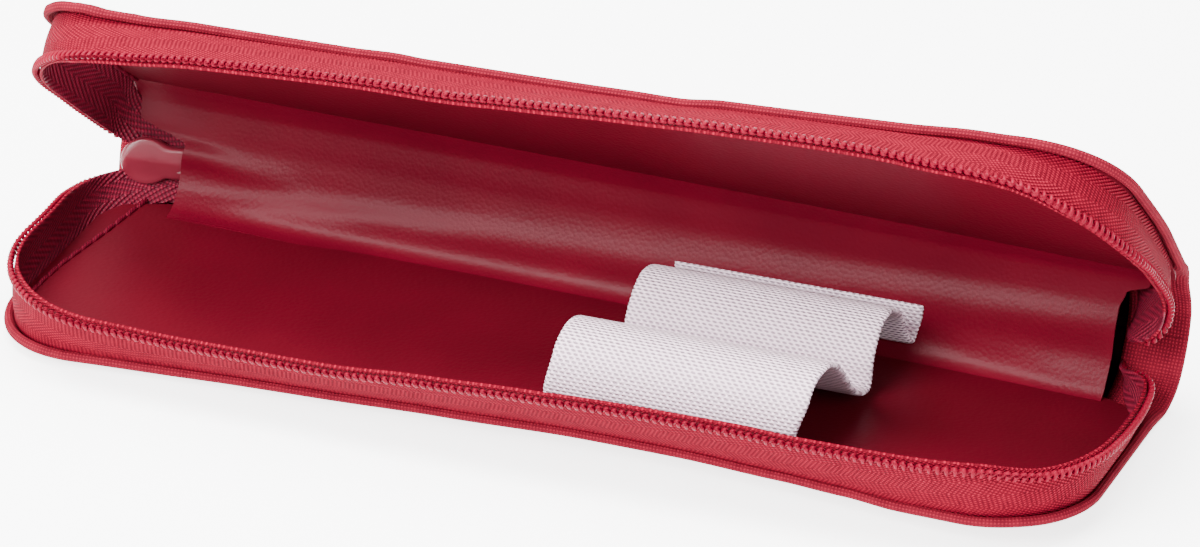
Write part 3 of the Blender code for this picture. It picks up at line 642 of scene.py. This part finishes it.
def panelSheet(name, side, inset, rearInset, height, rearReach, rows, backRows, cornerCut=0.0):
    # A sheet over the panel, from its rear line to the front edge, set in from the cover's edge
    shell = shells[side]
    corner = shell["cornerRadius"]
    grid, uvs = [], []
    places = columnPlaces(inset, max(corner - inset, 2.0))
    for r in range(rows + backRows + 1):
        line, uvLine = [], []
        for x in places:
            # round the corners the edge is scaled to the smaller radius
            scaled = x * halfLength / (halfLength - inset)
            front = frontEdge(scaled, corner, shell["waist"])
            if abs(scaled) >= halfLength - corner:
                front *= 1 - inset / corner
            front += inset
            rear = rearReach - cornerCut * max(0.0, abs(x) - coverCloth["cutStart"])
            if backRows and r < backRows:
                y = rear + (panelDepth - rear) * r / backRows
            elif backRows:
                y = panelDepth + (front - panelDepth) * (r - backRows) / rows
            else:
                y = rear + (front - rear) * r / rows
            over = coverCloth["insetOver"]
            reach = inset + (rearInset - inset) * easeIn((y - panelDepth + over) / over)
            across = x * (halfLength - reach) / (halfLength - inset)
            spot = shell["point"](across, y, height)
            settle(spot, shell, across, y)
            line.append(spot)
            uvLine.append((across, y))
        grid.append(line)
        uvs.append(uvLine)
    return makeGrid(name, grid, uvs)


def thicken(piece, thickness, innerSlot=0):
    # Thickness grows to the inside of the shell; the sheet is drawn on its outer face
    turnOut(piece)
    centre = sum((v.co for v in piece.data.vertices), Vector()) / len(piece.data.vertices)
    middle = min(piece.data.polygons, key=lambda f: (f.center - centre).length)
    inside = Vector(coverCloth["heart"]) - middle.center
    if middle.normal.dot(inside) > 0:
        piece.data.flip_normals()
    applyModifier(piece, "SOLIDIFY", thickness=thickness * mm, offset=-1.0, use_even_offset=False,
                  material_offset=innerSlot)


def crispRims(piece):
    # Faces stay smooth, cut edges stay crisp
    pickOnly(piece)
    bpy.ops.object.shade_smooth_by_angle(angle=math.radians(40))


def rimSweep(name, side):
    # The turned rim: full height round the panel, a flat hem over the ends of the back
    shell = shells[side]
    back = backLength / 2
    steps = coverCloth["backRows"] * 2
    stations = [(-halfLength, panelDepth + back * (1 - i / steps), Vector((-1, 0))) for i in range(steps)]
    for x, y, out, pull in edgePath(shell["cornerRadius"], shell["waist"], 0.0, panelDepth, panelDepth, 1.0):
        stations.append((x, y, out))
    stations += [(halfLength, panelDepth + back * i / steps, Vector((1, 0))) for i in range(1, steps + 1)]
    rows, uvs, run = [], [], 0.0
    for x, y, out in stations:
        mix = easeIn((y - panelDepth + coverCloth["hemStart"]) / coverCloth["hemOver"])
        row = []
        for (fullOff, fullHeight), (hemOff, hemHeight) in zip(shell["rim"], hem):
            off = fullOff + (hemOff - fullOff) * mix
            height = fullHeight + (hemHeight - fullHeight) * mix
            spot = shell["point"](x - out.x * off, y - out.y * off, height)
            settle(spot, shell, x, y)
            row.append(spot)
        if rows:
            run += (row[3] - rows[-1][3]).length
        rows.append(row)
        down = [0.0]
        for above, below in zip(row, row[1:]):
            down.append(down[-1] + (below - above).length)
        uvs.append([(run, v) for v in down])
    piece = makeGrid(name, rows, uvs, closedAcross=True)
    closeEnds(piece, len(hem))
    return piece


def makeCover(side):
    sheet = panelSheet(side + "CoverSheet", side, shells[side]["sheetInset"], coverCloth["backInset"], 0.0,
                       panelDepth + backLength / 2, coverCloth["panelRows"], coverCloth["backRows"])
    dress(sheet, "linen")
    # the sheet's inner face takes the near-black painted shade
    sheet.data.materials.append(looks["coverInnerPaintedShade"])
    thicken(sheet, coverCloth["thickness"], 1)
    rim = rimSweep(side + "Rim", side)
    dress(rim, "linen")
    return joinPieces(side + "Cloth", [sheet, rim])


lowerCloth = makeCover("lower")
upperCloth = makeCover("upper")
print("covers made")

# boards and linings
liningSheet = {
    "inset": 1.7,
    "height": 1.9,
    "thickness": 0.5,
    "rear": 50.2,
    "rows": 24,
    "cornerCut": {"lower": 0.42, "upper": 0.0},
}
panelBoard = {
    "inset": 3.2,
    "height": 1.1,
    "thickness": 0.6,
    "rear": 47.0,
    "rows": 12,
    "cornerCut": {"lower": 0.42, "upper": 0.42},
}


def layeredSheet(name, side, use):
    sheet = panelSheet(name, side, use["inset"], use["inset"], use["height"], use["rear"], use["rows"], 0,
                       use["cornerCut"][side])
    thicken(sheet, use["thickness"])
    return sheet


def makeLining(side):
    sheet = layeredSheet(side + "PanelLining", side, liningSheet)
    crispRims(sheet)
    dress(sheet, "lining")
    return sheet


def makeBoard(side):
    sheet = layeredSheet(side + "Stiffener", side, panelBoard)
    dress(sheet, "board")
    return sheet


lowerPanelLining = makeLining("lower")
upperPanelLining = makeLining("upper")
lowerStiffener = makeBoard("lower")
upperStiffener = makeBoard("upper")
print("boards and linings made")

# zip tapes and chains
zipChain = {
    "pitch": 1.18,
    "pointsPerTurn": 12,
    "coilWide": 1.75,
    "coilDeep": 1.1,
    "wire": 0.29,
    # the filament swells at the head of each turn, and less on its way down behind
    "headSwell": 1.35,
    "rearSwell": 0.6,
    # turns left off at each end, where the tape runs into the pocket
    "tailTurns": 7,
    "tapeThickness": 0.45,
    "tapeColumns": 300,
    "tapeRows": 14,
    "belly": 0.5,
    # how far the tape's edge passes the middle of the coil, and how far behind it stands
    "selvedge": {"lower": -0.1, "upper": -0.4},
    "behind": 0.25,
    # lines are read at this step and evened out so many times
    "step": 0.6,
    "rounds": 24,
    # where the end walls' drop sets in, and where the lower chain leans in at the left: start and length
    "dropStart": 72,
    "dropOver": 10,
    "leanAlong": (60, 22),
    "leanDepth": (25, 15),
    # a point inside the shell, in its own terms
    "heart": (0.0, 25.0, 5.0),
}


def readAlong(points, step):
    # A line read at an even spacing
    lengths = [0.0]
    for a, b in zip(points, points[1:]):
        lengths.append(lengths[-1] + (b - a).length)
    total = lengths[-1]
    count = max(2, round(total / step))
    read, k = [], 0
    for i in range(count + 1):
        goal = total * i / count
        while k < len(points) - 2 and lengths[k + 1] < goal:
            k += 1
        span = lengths[k + 1] - lengths[k]
        t = 0.0 if span == 0 else (goal - lengths[k]) / span
        read.append(points[k].lerp(points[k + 1], min(max(t, 0.0), 1.0)))
    return read


def lineLength(points):
    return sum((b - a).length for a, b in zip(points, points[1:]))


def spread(points, count):
    # A line read at a set number of places, even by length
    return readAlong(points, lineLength(points) / count)[:count + 1]


def soften(points, rounds):
    # Evens out the corners between listed and computed stretches
    for _ in range(rounds):
        new = [points[0]]
        for a, b, c in zip(points, points[1:], points[2:]):
            new.append((a + b * 2 + c) / 4)
        new.append(points[-1])
        points = new
    return points


def chainLine(side):
    # The chain's own line, with the rear ends turned in to the pockets
    shell = shells[side]
    tails = zipTails[side]
    leanX, leanOver = zipChain["leanAlong"]
    leanY, leanFall = zipChain["leanDepth"]
    line = []
    path = edgePath(shell["chainCorner"], -shell["chainBow"], shell["chainOut"], *tails["chainStart"])
    for x, y, out, pull in path:
        end = min(1.0, max(0.0, (abs(x) - zipChain["dropStart"]) / zipChain["dropOver"]))
        drop = wave(shell["leftDrop" if x < 0 else "rightDrop"], y) * end
        spot = shell["point"](x, y, shell["chainHeight"] + shell["chainRise"] * pull - drop)
        spot.x += shell["chainIn"] * easeIn((-x - leanX) / leanOver) * (1 - easeIn((y - leanY) / leanFall))
        spot.z += waveLift(shell, x, y, "chainWave")
        line.append(spot)
    return [place(*p) for p in tails["chainLeft"]] + line + [place(*p) for p in tails["chainRight"]]


def baseLine(side):
    # Where the tape leaves the rim
    shell = shells[side]
    tails = zipTails[side]
    inset = shell["seamInset"]
    line = []
    path = edgePath(shell["cornerRadius"] - inset, shell["waist"], -inset, *tails["baseStart"])
    for x, y, out, pull in path:
        spot = shell["point"](x, y, shell["seamHeight"])
        settle(spot, shell, x, y)
        line.append(spot)
    return [place(*p) for p in tails["baseLeft"]] + line + [place(*p) for p in tails["baseRight"]]


# the tape tails: places in mm from the front edge, from the pocket out and from the side in
zipTails = {
    "lower": {
        "chainStart": (43.0, 33.0),
        "baseStart": (36.0, 36.0),
        "chainLeft": [(-71.5, 53.9, 9.2), (-75.0, 53.6, 8.9), (-78.5, 52.9, 8.4), (-81.5, 51.4, 7.9),
                      (-83.9, 49.4, 7.6), (-85.6, 46.8, 7.7)],
        "chainRight": [(86.0, 38.6, 7.5), (85.3, 42.4, 7.4), (83.9, 44.8, 7.3), (81.6, 46.6, 6.4),
                       (79.8, 48.6, 5.2), (79.0, 51.4, 4.3), (78.6, 54.2, 3.8)],
        "baseLeft": [(-71.5, 53.2, 3.4), (-75.0, 51.9, 3.4), (-78.5, 50.0, 3.4), (-81.0, 47.6, 3.2),
                     (-83.2, 44.0, 2.8), (-84.4, 40.0, 2.4)],
        "baseRight": [(84.5, 39.0, 0.9), (83.6, 42.4, 0.7), (82.2, 45.4, 0.7), (80.8, 48.2, 0.8),
                      (79.6, 51.0, 1.2), (78.8, 54.0, 1.8)],
    },
    "upper": {
        "chainStart": (46.5, 44.0),
        "baseStart": (44.0, 43.0),
        "chainLeft": [(-71.5, 54.1, 10.5), (-75.0, 53.6, 10.8), (-78.2, 52.8, 11.3), (-80.9, 52.0, 11.9),
                      (-83.0, 51.6, 12.5), (-84.6, 51.3, 13.4)],
        "chainRight": [(86.0, 47.1, 16.6), (85.6, 47.8, 14.5), (84.7, 47.6, 12.9), (83.2, 47.6, 11.6),
                       (81.4, 48.4, 10.8), (80.2, 50.6, 10.2), (79.4, 53.4, 9.9), (78.9, 56.0, 9.8)],
        "baseLeft": [(-71.5, 55.2, 14.6), (-74.9, 55.2, 15.2), (-78.4, 55.2, 16.5), (-80.9, 55.0, 17.9),
                     (-82.3, 53.8, 19.7), (-82.9, 51.6, 22.2)],
        "baseRight": [(84.6, 52.6, 21.6), (83.2, 54.4, 19.2), (81.6, 55.6, 17.2), (80.2, 56.4, 16.0),
                      (79.4, 57.0, 15.4)],
    },
}


def makeZip(side):
    count = zipChain["tapeColumns"]
    chain = soften(readAlong(chainLine(side), zipChain["step"]), zipChain["rounds"])
    base = soften(readAlong(baseLine(side), zipChain["step"]), zipChain["rounds"])
    top = spread(chain, count)
    foot = spread(base, count)
    heart = shells[side]["point"](*zipChain["heart"])
    # at each place along the tape: the way up it and the way out of it
    ups, outs = [], []
    for i in range(len(top)):
        along = (top[min(i + 1, count)] - top[max(i - 1, 0)]).normalized()
        up = top[i] - foot[i]
        up = (up - along * up.dot(along)).normalized()
        ups.append(up)
        outs.append(along.cross(up).normalized())
    if outs[count // 2].dot(top[count // 2] - heart) < 0:
        outs = [-o for o in outs]
    tape = makeTape(side, top, foot, ups, outs, heart)
    coil = makeCoil(side, chain, ups, outs)
    return tape, coil


def makeTape(side, top, foot, ups, outs, heart):
    rows, uvs, run = [], [], 0.0
    shares = [k / zipChain["tapeRows"] for k in range(zipChain["tapeRows"] + 1)]
    past = zipChain["coilWide"] / 2 + zipChain["selvedge"][side]
    for i in range(len(top)):
        if i:
            run += (top[i] - top[i - 1]).length
        head = top[i] + ups[i] * past - outs[i] * zipChain["behind"]
        high = (head - foot[i]).length
        belly = outs[i] * zipChain["belly"]
        rows.append([foot[i].lerp(head, t) + belly * math.sin(math.pi * t) for t in shares])
        uvs.append([(run, high * t) for t in shares])
    tape = makeGrid(side + "Tape", rows, uvs)
    turnOut(tape)
    thickness = zipChain["tapeThickness"] * mm
    applyModifier(tape, "SOLIDIFY", thickness=thickness, offset=0.0, use_even_offset=False)
    dress(tape, "tape")
    tape.data.materials.append(looks["tapeInnerShaded"])
    # faces looking into the case take the copy with painted shade
    for face in tape.data.polygons:
        # each place looks to its own point inside, a little nearer the middle of the case
        toHeart = Vector((face.center.x * 0.8, heart.y * mm, heart.z * mm)) - face.center
        face.material_index = 1 if face.normal.dot(toHeart) > 0 else 0
    return tape


def makeCoil(side, chain, ups, outs):
    # One nylon filament wound round and round, flattened, on the tape's outer face
    columns = len(ups) - 1
    perTurn = zipChain["pointsPerTurn"]
    fine = spread(chain, int(lineLength(chain) / zipChain["pitch"]) * perTurn)
    wide = zipChain["coilWide"] / 2 - zipChain["wire"]
    deep = zipChain["coilDeep"] / 2 - zipChain["wire"]
    middle = zipChain["coilDeep"] / 2 + zipChain["tapeThickness"] / 2
    centres, sizes = [], []
    for i in range(len(fine) - perTurn):
        # the outer pass lies square across the tape, and the filament moves on behind it
        part = (i % perTurn) / perTurn
        j = (i // perTurn) * perTurn + easeIn((part - 0.5) / 0.5) * perTurn
        k = int(j)
        spot = fine[k].lerp(fine[k + 1], j - k)
        s = j / len(fine) * columns
        k = min(int(s), columns - 1)
        up = ups[k].lerp(ups[k + 1], s - k).normalized()
        out = outs[k].lerp(outs[k + 1], s - k).normalized()
        turn = 2 * math.pi * part
        swell = max(0.0, math.cos(turn)) * (1 if math.sin(turn) > -0.1 else zipChain["rearSwell"])
        sizes.append(1 + (zipChain["headSwell"] - 1) * swell)
        centres.append(spot + up * wide * math.cos(turn) + out * (deep * math.sin(turn) + middle))
    skip = zipChain["tailTurns"] * perTurn
    never = Vector((0.12, 0.31, 0.94))  # the filament never runs this way
    coil = cord(side + "Coil", centres[skip:-skip], zipChain["wire"], never, sizes[skip:-skip])
    dress(coil, "coil")
    return coil


lowerTape, lowerCoil = makeZip("lower")
upperTape, upperCoil = makeZip("upper")
print("zip tapes and coils made")

# lining strip over the back
backStrip = {
    "thickness": 0.5,
    "rows": 60,
    "columns": 120,
    "length": 24.0,
    # share of the rows in the lower half, since the strip bends at both folds and is made in two
    "split": 0.63,
    # the strip follows the lower shell's twist up to a height, and loses it over so many mm
    "saddleFade": (2.0, 15.0),
    # the upper end twists with the lid: by how much, from which height, and over how many mm
    "lidTwist": (0.5, 18.0, 4.0),
    # section from the lower lining, up the back and over onto the lid's lining
    "section": [(45.4, 1.7), (46.8, 1.95), (48.0, 2.5), (49.1, 3.5), (50.0, 5.0), (50.7, 7.0), (51.4, 9.2),
                (52.2, 11.8), (53.1, 14.2), (53.65, 16.4), (53.9, 18.0), (53.85, 19.3), (53.45, 20.4),
                (52.95, 21.4), (52.4, 22.4), (51.9, 23.4)],
    "leftEdge": [(0.0, -74.0), (0.4, -74.1), (0.57, -73.7), (0.61, -76.2), (0.65, -79.2), (0.7, -82.0),
                 (0.76, -83.6), (1.0, -83.6)],
    "rightEdge": [(0.0, 77.2), (0.4, 77.5), (0.6, 77.7), (0.7, 78.5), (0.76, 82.0), (1.0, 83.0)],
    # soft creases: mm along the case, height, push to the front, half width in height
    "creases": [
        [(-80, 2.4, 0.3, 2.4), (-72, 3.0, 0.7, 2.5), (-52, 4.8, 0.9, 2.8), (-36, 6.0, 0.85, 3.0),
         (-17, 7.4, 0.85, 3.2), (-3, 8.0, 0.85, 3.2), (25, 9.2, 0.8, 3.2), (54, 10.4, 0.8, 3.0),
         (66, 11.0, 0.8, 2.8), (80, 11.6, 0.5, 2.6)],
        [(50, 6.0, 0.0, 2.2), (60, 5.4, 0.3, 2.2), (72, 4.6, 0.6, 2.2), (80, 4.2, 0.5, 2.2)],
        [(-80, 12.2, 0.7, 2.0), (-72, 11.4, 0.75, 2.0), (-60, 10.2, 0.35, 2.2), (-50, 9.4, 0.0, 2.4)],
        [(-80, 18.6, 0.2, 4.0), (-60, 17.6, 0.6, 4.2), (-20, 17.6, 0.9, 4.4), (40, 18.2, 0.8, 4.2),
         (80, 18.4, 0.4, 4.0)],
    ],
}


def readTable(table, x, column=1):
    # Smooth read of one column of a table
    return wave([(row[0], row[column]) for row in table], x)


def smoothLine(points, perSpan):
    # A rounded line through the given points
    drawn = []
    for i in range(len(points) - 1):
        p0, p1 = points[max(i - 1, 0)], points[i]
        p2, p3 = points[i + 1], points[min(i + 2, len(points) - 1)]
        for k in range(perSpan):
            t = k / perSpan
            drawn.append(0.5 * ((2 * p1) + (p2 - p0) * t + (2 * p0 - 5 * p1 + 4 * p2 - p3) * t * t
                                + (3 * p1 - p0 - 3 * p2 + p3) * t ** 3))
    drawn.append(points[-1])
    return drawn


def stripRows():
    # The strip as rows of points, from the lower lining up to the lid's
    count = backStrip["rows"]
    section = spread(smoothLine([Vector((0, y, z)) for y, z in backStrip["section"]], 8), count)
    fadeStart, fadeOver = backStrip["saddleFade"]
    twistMost, twistStart, twistOver = backStrip["lidTwist"]
    grid, uvs = [], []
    for r, spot in enumerate(section):
        t = r / count
        along = (section[min(r + 1, count)] - section[max(r - 1, 0)]).normalized()
        forward = Vector((0, -along.z, along.y))
        left = readTable(backStrip["leftEdge"], t)
        right = readTable(backStrip["rightEdge"], t)
        line, uvLine = [], []
        for c in range(backStrip["columns"] + 1):
            x = left + (right - left) * c / backStrip["columns"]
            push = 0.0
            for crease in backStrip["creases"]:
                near = (spot.z - readTable(crease, x, 1)) / readTable(crease, x, 3)
                push += readTable(crease, x, 2) * math.exp(-near * near)
            lift = -caseShape["lowerSaddle"] * x / halfLength * (1 - easeIn((spot.z - fadeStart) / fadeOver))
            twist = twistMost * easeIn((spot.z - twistStart) / twistOver) * x / halfLength
            line.append(place(x, spot.y, spot.z + lift) + forward * (push + twist))
            uvLine.append((x, t * backStrip["length"]))
        grid.append(line)
        uvs.append(uvLine)
    return grid, uvs


def makeStrip(name, grid, uvs):
    strip = makeGrid(name, grid, uvs)
    turnOut(strip)
    applyModifier(strip, "SOLIDIFY", thickness=backStrip["thickness"] * mm, offset=0.0)
    crispRims(strip)
    dress(strip, "leatherette")
    return strip


stripGrid, stripUvs = stripRows()
halfway = round(backStrip["rows"] * backStrip["split"])
lowerStrip = makeStrip("backLiningLow", stripGrid[:halfway + 1], stripUvs[:halfway + 1])
upperStrip = makeStrip("backLiningHigh", stripGrid[halfway:], stripUvs[halfway:])
print("back lining made")

# elastic band
elasticBand = {
    "thickness": 0.8,
    "beadPitch": 0.66,
    "bead": 0.375,
    "columns": 24,
    # seen end on: from the front seam, round the loop, down, over the hump and up to the free end
    "profile": [(12.5, 2.75), (10.6, 2.85), (8.9, 3.3), (7.3, 4.9), (6.3, 6.9), (5.9, 9.3), (6.4, 11.8),
                (7.8, 14.0), (10.0, 15.6), (12.8, 16.2), (15.5, 15.6), (18.5, 13.5), (21.5, 10.5),
                (25.0, 7.2), (28.5, 4.8), (31.0, 3.8), (32.6, 3.6), (33.5, 4.6), (34.3, 7.5), (36.5, 10.3),
                (39.0, 11.7), (41.5, 12.0), (44.0, 11.3), (46.3, 9.0), (47.7, 6.2), (48.8, 4.3),
                (49.5, 3.9), (50.1, 5.0), (50.35, 7.0), (50.4, 9.6)],
    # the two cut edges, at shares of the way along
    "leftEdge": [(0.0, 5.3), (0.1, 5.5), (0.2, 6.5), (0.33, 6.9), (0.55, 7.2), (0.72, 7.5), (1.0, 9.0)],
    "rightEdge": [(0.0, 44.0), (0.1, 43.7), (0.2, 45.4), (0.33, 46.4), (0.55, 46.2), (0.72, 46.0),
                  (0.85, 46.6), (1.0, 48.4)],
}


def makeElastic():
    line = smoothLine([place(0, y, z) for y, z in elasticBand["profile"]], 6)
    total = lineLength(line)
    line = readAlong(line, elasticBand["beadPitch"] / 2)
    columns = elasticBand["columns"]
    grid, uvs, run = [], [], 0.0
    for i, spot in enumerate(line):
        if i:
            run += (spot - line[i - 1]).length
        # the selvedge is beaded: it bulges a little at every weft loop
        bead = elasticBand["bead"] if i % 2 else 0.0
        left = readTable(elasticBand["leftEdge"], run / total) - bead
        right = readTable(elasticBand["rightEdge"], run / total) + bead
        places = [left + (right - left) * (c / columns) for c in range(columns + 1)]
        grid.append([Vector((x, spot.y, spot.z)) for x in places])
        uvs.append([(x, run) for x in places])
    band = makeGrid("elastic", grid, uvs)
    turnOut(band)
    applyModifier(band, "SOLIDIFY", thickness=elasticBand["thickness"] * mm, offset=0.0)
    applyModifier(band, "SUBSURF", levels=1, render_levels=1)
    dress(band, "elastic")
    return band, total


elastic, elasticLength = makeElastic()
print("elastic band made, run", round(elasticLength, 1), "mm")

# zip pull
zipPull = {
    "centre": (-80.05, 10.05),
    "radius": 3.97,
    # the disc is drawn between these angles, and the neck's corners close it
    "discTurn": (38, 322),
    "discPoints": 40,
    "neck": [(-76.2, 7.02), (-74.6, 7.04), (-73.0, 7.05), (-73.0, 12.38), (-74.6, 12.38), (-76.2, 12.48)],
    "step": 0.5,
    "rounds": 3,
    "middle": (-78.6, 10.0),
    # its face: mm from the front edge at an x, and how much it leans along the case
    "face": 50.4,
    "faceX": -80,
    "lean": 0.3,
    "thickness": 1.3,
    # the raised ridge across the face: height, half width, and its line by x, height and slope
    "ridge": 0.5,
    "ridgeHalf": 3.0,
    "ridgeLine": (-82.3, 10.8, -0.11),
}


def makePull():
    cx, cz = zipPull["centre"]
    first, last = zipPull["discTurn"]
    outline = []
    for i in range(zipPull["discPoints"] + 1):
        turn = math.radians(first + (last - first) * i / zipPull["discPoints"])
        outline.append((cx + zipPull["radius"] * math.cos(turn), cz + zipPull["radius"] * math.sin(turn)))
    outline += zipPull["neck"]
    smooth = []
    for i in range(len(outline)):
        p, q = Vector(outline[i]), Vector(outline[(i + 1) % len(outline)])
        steps = max(1, int((q - p).length / zipPull["step"]))
        smooth.extend(p.lerp(q, k / steps) for k in range(steps))
    for _ in range(zipPull["rounds"]):
        later = smooth[1:] + smooth[:1]
        smooth = [(smooth[i - 1] + smooth[i] * 2 + later[i]) / 4 for i in range(len(smooth))]
    middle = Vector(zipPull["middle"])
    ridgeX, ridgeHeight, ridgeSlope = zipPull["ridgeLine"]

    def ring(scale, depth, ridge=0.0):
        # The outline at a share of its size and a depth behind the face
        row = []
        for p in smooth:
            q = middle + (p - middle) * scale
            ridgeLine = ridgeHeight + ridgeSlope * (q.x - ridgeX)
            lift = ridge * max(0.0, 1 - abs(q.y - ridgeLine) / zipPull["ridgeHalf"])
            y = zipPull["face"] + zipPull["lean"] * (q.x - zipPull["faceX"]) + depth - lift
            row.append(place(q.x, y, q.y))
        return row

    # from the rear face, round the edge, to the middle of the front face
    deep = zipPull["thickness"]
    rings = [ring(scale, deep) for scale in (0.0, 0.5, 0.93)]
    rings += [ring(0.985, deep - 0.12), ring(1.0, deep - 0.4)]
    rings += [ring(1.0, 0.5), ring(0.988, 0.22), ring(0.96, 0.07)]
    rings += [ring(scale, 0.0, zipPull["ridge"]) for scale in (0.92, 0.75, 0.55, 0.35, 0.15, 0.0)]
    piece = makeGrid("pullDisc", rings, None, closedAcross=True)
    work = bmesh.new()
    work.from_mesh(piece.data)
    bmesh.ops.remove_doubles(work, verts=work.verts, dist=0.02 * mm)
    bmesh.ops.recalc_face_normals(work, faces=work.faces)
    work.to_mesh(piece.data)
    work.free()
    piece.data.shade_smooth()
    dress(piece, "pull")
    return piece


pullDisc = makePull()
print("pull made")

# stitches round the linings
seamStitch = {
    "pitch": 3.1,
    "length": 2.2,
    "thread": 0.38,
    "height": 2.5,
    "inset": {"lower": 3.2, "upper": 2.4},
    "step": 0.31,
    # the thread arches a little over each stitch, and dips into the lining at the needle hole
    "arch": 0.1,
    "dip": -0.34,
    # mm from the front edge where the row starts at the left and ends at the right
    "start": {"lower": 21.0, "upper": 47.0},
    "end": 46.0,
    # the row swings in with the tape at the slider's end: x and mm from the front edge
    "leftEnd": {
        "lower": [(-79.3, 49.0), (-79.7, 46.0), (-80.3, 41.6), (-81.0, 36.0), (-81.8, 30.8), (-82.5, 26.0)],
        "upper": [],
    },
}


def makeStitches(side):
    # One thread run, dipping into the lining at every needle hole
    shell = shells[side]
    inset = seamStitch["inset"][side]
    path = edgePath(shell["cornerRadius"] - inset, shell["waist"], -inset, seamStitch["start"][side],
                    seamStitch["end"], 1.0)
    line = []
    for x, y in seamStitch["leftEnd"][side] + [(x, y) for x, y, out, pull in path]:
        spot = shell["point"](x, y, seamStitch["height"])
        settle(spot, shell, x, y)
        line.append(spot)
    line = readAlong(line, seamStitch["step"])
    up = (shell["point"](0, 20, 5.0) - shell["point"](0, 20, 2.0)).normalized()  # into the shell
    perStitch = round(seamStitch["pitch"] / seamStitch["step"])
    laid = seamStitch["length"] / seamStitch["pitch"]
    centres = []
    for i, spot in enumerate(line):
        share = (i % perStitch) / perStitch
        lift = seamStitch["dip"] if share > laid else seamStitch["arch"] * math.sin(math.pi * share / laid)
        centres.append(spot + up * lift)
    thread = cord(side + "Stitches", centres, seamStitch["thread"], up)
    dress(thread, "thread")
    return thread


lowerStitches = makeStitches("lower")
upperStitches = makeStitches("upper")
print("stitches made")

# riding and replacing
def bend(piece, first, second, start, end, *nodes):
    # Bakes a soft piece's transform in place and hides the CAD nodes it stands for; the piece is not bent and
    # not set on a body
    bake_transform(piece)
    if nodes:
        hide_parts(*nodes)


# where a bend starts and ends, in mm from the front edge
lowerFold = ((0, 49.75, 0.0), (0, 55.85, 4.3))
upperFold = ((0, 58.85, 12.4), (0, 56.45, 21.6))
lowerTail = ((0, 43.0, 9.0), (0, 53.5, 9.0))
upperTail = ((0, 54.0, 10.0), (0, 48.0, 19.33))
lowerStripBend = ((0, 48.5, 2.5), (0, 51.6, 8.5))
upperStripBend = ((0, 53.6, 15.0), (0, 54.2, 20.6))
bend(lowerCloth, "lower_shell", "spine", *lowerFold, "lower_cover")
bend(upperCloth, "spine", "lid", *upperFold, "upper_cover", "spine_cover")
bend(lowerTape, "lower_shell", "spine", *lowerTail, "lower_zip_tape")
bend(upperTape, "spine", "lid", *upperTail, "upper_zip_tape")
bend(lowerCoil, "lower_shell", "spine", *lowerTail, "lower_zip_chain")
bend(upperCoil, "spine", "lid", *upperTail, "upper_zip_chain")
bend(lowerStrip, "lower_shell", "spine", *lowerStripBend, "spine_lining")
bend(upperStrip, "spine", "lid", *upperStripBend)
for piece, body, node in (
        (lowerPanelLining, "lower_shell", "lower_lining"),
        (upperPanelLining, "lid", "upper_lining"),
        (lowerStiffener, "lower_shell", "lower_board"),
        (upperStiffener, "lid", "upper_board"),
        (lowerStitches, "lower_shell", None),
        (upperStitches, "lid", None),
        (elastic, "lower_shell", "elastic_band"),
        (pullDisc, "pull", "pull_tab")):
    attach(piece, body)
    if node:
        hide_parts(node)
for node in ("slider_body", "slider_crown"):
    dress(bpy.data.objects[node], "slider")
print("pieces set on their bodies")

# floor, light and camera, in metres, degrees and watts
studio = {
    "cameraPlace": (0.24054, -0.60396, 0.33198),
    # azimuth, elevation and roll
    "cameraTurn": (21.021, 25.885, 0.864),
    "lens": 147.6,
    "shift": (-0.00925, 0.00372),
    # each light's place, what it is aimed at, its size and its power
    "lights": {
        "topSoftbox": ((-0.10, 0.10, 0.85), (0, 0.0, 0.01), (0.9, 0.6), 52.0),
        "frontSoftbox": ((-0.28, -0.60, 0.52), (0, 0, 0.02), (0.6, 0.45), 27.0),
        "fillSoftbox": ((0.60, -0.45, 0.40), (0, 0, 0.02), (0.5, 0.4), 4.0),
    },
    "worldStrength": 1.3,
    "floorSize": 6.0,
    # just under the cover, whose foot reaches 1.8 mm below the mount plane
    "floorHeight": -0.0019,
}


def setCamera():
    azimuth, elevation, roll = (math.radians(v) for v in studio["cameraTurn"])
    level = math.cos(elevation)
    back = Vector((math.sin(azimuth) * level, -math.cos(azimuth) * level, math.sin(elevation)))
    right = (-back).cross(Vector((0, 0, 1))).normalized()
    up = right.cross(-back).normalized()
    rolledRight = right * math.cos(roll) + up * math.sin(roll)
    rolledUp = -right * math.sin(roll) + up * math.cos(roll)
    data = bpy.data.cameras.new("photoCamera")
    data.lens = studio["lens"]
    data.sensor_width = 36.0
    data.shift_x, data.shift_y = studio["shift"]
    data.clip_start = 0.01
    data.clip_end = 20.0
    camera = bpy.data.objects.new("photoCamera", data)
    bpy.context.collection.objects.link(camera)
    facing = Matrix((rolledRight, rolledUp, back)).transposed().to_4x4()
    camera.matrix_world = Matrix.Translation(studio["cameraPlace"]) @ facing
    bpy.context.scene.camera = camera


def areaLight(name, spot, aim, size, power):
    data = bpy.data.lights.new(name, "AREA")
    data.shape = "RECTANGLE"
    data.size, data.size_y = size
    data.energy = power
    light = bpy.data.objects.new(name, data)
    bpy.context.collection.objects.link(light)
    light.location = spot
    light.rotation_euler = (Vector(aim) - Vector(spot)).to_track_quat("-Z", "Y").to_euler()


setCamera()
for name, (spot, aim, size, power) in studio["lights"].items():
    areaLight(name, spot, aim, size, power)
world = bpy.data.worlds.new("studioWorld")
world.use_nodes = True
world.node_tree.nodes["Background"].inputs["Color"].default_value = (1, 1, 1, 1)
world.node_tree.nodes["Background"].inputs["Strength"].default_value = studio["worldStrength"]
bpy.context.scene.world = world
deselect()
bpy.ops.mesh.primitive_plane_add(size=studio["floorSize"], location=(0, 0, studio["floorHeight"]))
floor = bpy.context.object
floor.name = "studioFloor"
bpy.ops.object.transform_apply(location=True)
dress(floor, "floor")
print("studio set")
